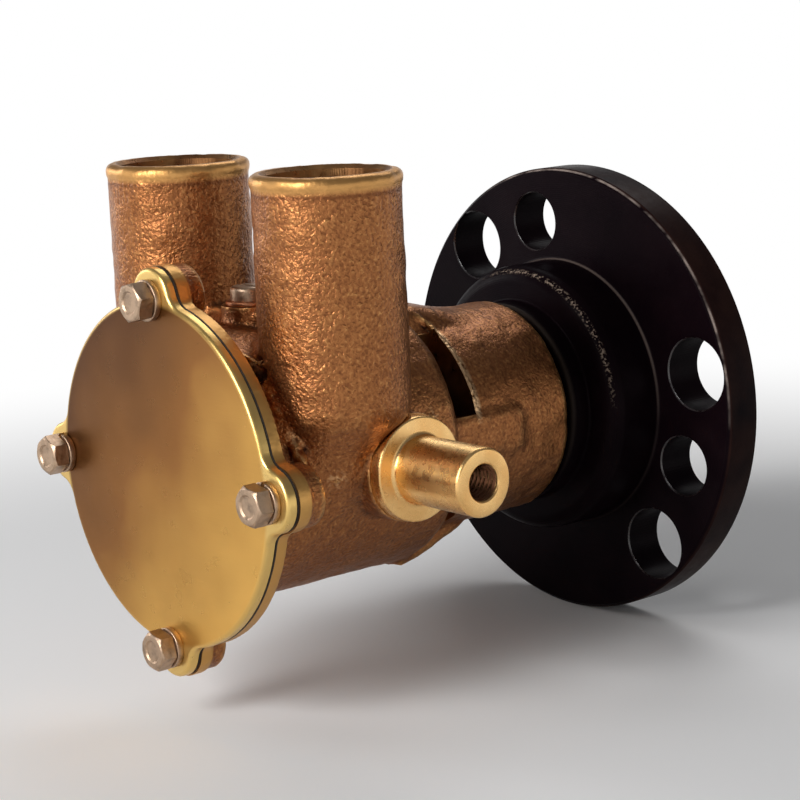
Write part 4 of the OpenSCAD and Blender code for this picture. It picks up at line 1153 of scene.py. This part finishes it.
def drive_flange():
    """The flange with its holes and keyway, and the bolt and washer that hold it."""
    flange = lathe("black_drive_flange", rounded([
        (SHAFT_BORE_R, S_RECESS, 0), (RECESS_R, S_RECESS, 0.4), (RECESS_R, REGISTER_DEPTH, 0.3),
        (REGISTER_R, REGISTER_DEPTH, 0.4), (REGISTER_R, 0, 0.25),
        (FLANGE_R - FLANGE_CHAMFER, 0, 0.3), (FLANGE_R, FLANGE_CHAMFER, 0.3),
        (FLANGE_R, S_FLANGE - FLANGE_CHAMFER, 0.3), (FLANGE_R - FLANGE_CHAMFER, S_FLANGE, 0.3),
        (BOSS_R, S_FLANGE, 1.0), (BOSS_R, S_BOSS, 4.0), (STEP_R, S_BOSS, 0.6), (STEP_R, S_STEP, 0.8),
        (SHAFT_BORE_R, S_STEP, 0)], 5), segments=192)
    dress(flange, "black_flange", "drilled_black")
    cutters = []
    past = 0.6
    for turns, circle_r, hole_r in ((LARGE_TURNS, LARGE_CIRCLE_R, LARGE_HOLE_R),
                                    (SMALL_TURNS, SMALL_CIRCLE_R, SMALL_HOLE_R)):
        flare = hole_r + HOLE_CHAMFER + past
        for turn in turns:
            cutters.append(lathe("flange_hole", [
                (0, -past), (flare, -past), (hole_r, HOLE_CHAMFER), (hole_r, S_FLANGE - HOLE_CHAMFER),
                (flare, S_FLANGE + past), (0, S_FLANGE + past)],
                place_beside(math.radians(turn), circle_r), 72))
    carve(flange, gather(*cutters))
    for face in flange.data.polygons:
        from_axis = math.hypot(face.center.x, face.center.z) / MM
        in_plate = BOSS_R + 1.3 < from_axis < FLANGE_R - 1
        face.material_index = 1 if in_plate and 0.3 < abs(face.normal.y) < 0.9 else 0
    keyway_half, keyway_top = 2.5, 10.5
    carve(flange, block((-keyway_half, S_RECESS - 1, 0), (keyway_half, S_STEP + 1, keyway_top)))
    hand_over(flange, "rotor", "drive_flange", 28)

    bolt = hexagon_bolt("flange_hex_bolt", 13.0, 5.3, 3.98, 22.0, dish=0.4, chamfer=0.2,
                        place=lambda across, along, angle: place_y(across, S_BOLT_HEAD - along, angle))
    dress(bolt, "zinc_steel")
    hand_over(bolt, "rotor", "flange_bolt", 24)

    inner, outer = 4.25, 15
    washer = lathe("flange_thick_washer", rounded([
        (inner, S_BOLT_HEAD, 0.2), (outer, S_BOLT_HEAD, 0.5), (outer, S_RECESS, 0.2),
        (inner, S_RECESS, 0.1)]))
    dress(washer, "zinc_steel")
    hand_over(washer, "rotor", "flange_washer")


def finish_cad_nodes():
    """Every node keeps its shape and takes the node material of its slot, or a nearer one."""
    nearer = {"seal_retainer": "stainless", "wear_plate": "stainless",
              "drive_key": "spring_steel", "seal_spring": "spring_steel"}
    for part in frame["record"]["subparts"]:
        name = part["node"]
        for place in frame["nodes"][name].material_slots:
            place.material = finishes[nearer.get(name, part["material_slot"])]


# Stage

def lamp(name, azimuth, elevation, distance, width, height, watts):
    """A soft rectangular lamp that faces the middle of the pump."""
    light = bpy.data.lights.new(name, "AREA")
    light.shape = "RECTANGLE"
    light.size, light.size_y = width, height
    light.energy = watts
    az, el = math.radians(azimuth), math.radians(elevation)
    away = Vector((math.sin(az) * math.cos(el), -math.cos(az) * math.cos(el), math.sin(el)))
    stand = bpy.data.objects.new(name, light)
    stand.location = Vector((0, -0.075, 0)) + away * distance
    stand.rotation_euler = away.to_track_quat("Z", "Y").to_euler()
    bpy.context.scene.collection.objects.link(stand)


def studio():
    """A pale floor, a sky that is white at the horizon and grey above, and three soft lamps."""
    world = bpy.data.worlds.new("studio")
    bpy.context.scene.world = world
    world.use_nodes = True
    sky = Nodes(world.node_tree)
    height = sky.axis("Z", sky.add("ShaderNodeTexCoord").outputs["Generated"])
    sky.wire(sky.tree.nodes["Background"],
             Strength=sky.level(sky.backdrop_seen(), 0, 1, 0.36, 1.0),
             Color=sky.blend(sky.level(height, 0.10, 0.36, smooth=True), (1, 1, 1), (0.16, 0.16, 0.17)))

    paper = Finish("studio_floor_paper", rough=0.85, Specular_IOR_Level=0.1)
    seen = paper.backdrop_seen()
    mottle = paper.patches(400, 2, 0.99, 1.0, between=(0.2, 0.8))
    paper.done(paper.times(paper.level(seen, 0, 1, 0.72, 0.97), mottle))
    far = paper.level(paper.radius("X", "Y", centre=(0, -70, 0)), 0.16, 0.42, smooth=True)
    fade = paper.add("ShaderNodeMixShader")
    white = paper.add("ShaderNodeEmission").outputs[0]
    for socket, source in zip(fade.inputs, (paper.times(far, seen), paper.shader.outputs[0], white)):
        paper.feed(socket, source)
    paper.feed(paper.tree.nodes["Material Output"].inputs["Surface"], fade.outputs[0])
    reach, floor_z = 6000, cad_low[2] / MM
    corners = [(x * reach, y * reach, floor_z) for x, y in ((-1, -1), (1, -1), (1, 1), (-1, 1))]
    floor = make_piece("studio_floor", corners, [(0, 1, 2, 3)], outward=False)
    floor.data.materials.append(paper.material)

    lamp("soft_key", 5, 26, 1.3, 0.45, 0.8, 15)
    lamp("soft_side", -66, 16, 1.6, 0.6, 0.7, 5)
    lamp("soft_back", 215, 48, 1.6, 0.9, 0.6, 5)


def photograph_camera():
    """The camera fitted to the photograph: its axes, place and lens."""
    azimuth, elevation, roll = (math.radians(v) for v in (50.35, 11.0, -2.6))
    back = Vector((math.sin(azimuth) * math.cos(elevation), -math.cos(azimuth) * math.cos(elevation),
                   math.sin(elevation)))
    level = Vector((math.cos(azimuth), math.sin(azimuth), 0))
    upright = back.cross(level)
    right = math.cos(roll) * level + math.sin(roll) * upright
    up = -math.sin(roll) * level + math.cos(roll) * upright
    lens = bpy.data.cameras.new("photograph_camera")
    lens.sensor_width = 36
    lens.lens = 104.7
    lens.clip_start = 0.01
    camera = bpy.data.objects.new("photograph_camera", lens)
    turn = Matrix((right, up, back)).transposed().to_4x4()
    camera.matrix_world = Matrix.Translation((0.41917, -0.41150, 0.11180)) @ turn
    bpy.context.scene.collection.objects.link(camera)
    bpy.context.scene.camera = camera


photograph_camera()
finish_cad_nodes()
pump_casting()
cover_plate()
cover_fasteners()
cam_fasteners()
torque_stud()
drive_flange()
studio()
bpy.context.scene.view_settings.view_transform = "Standard"
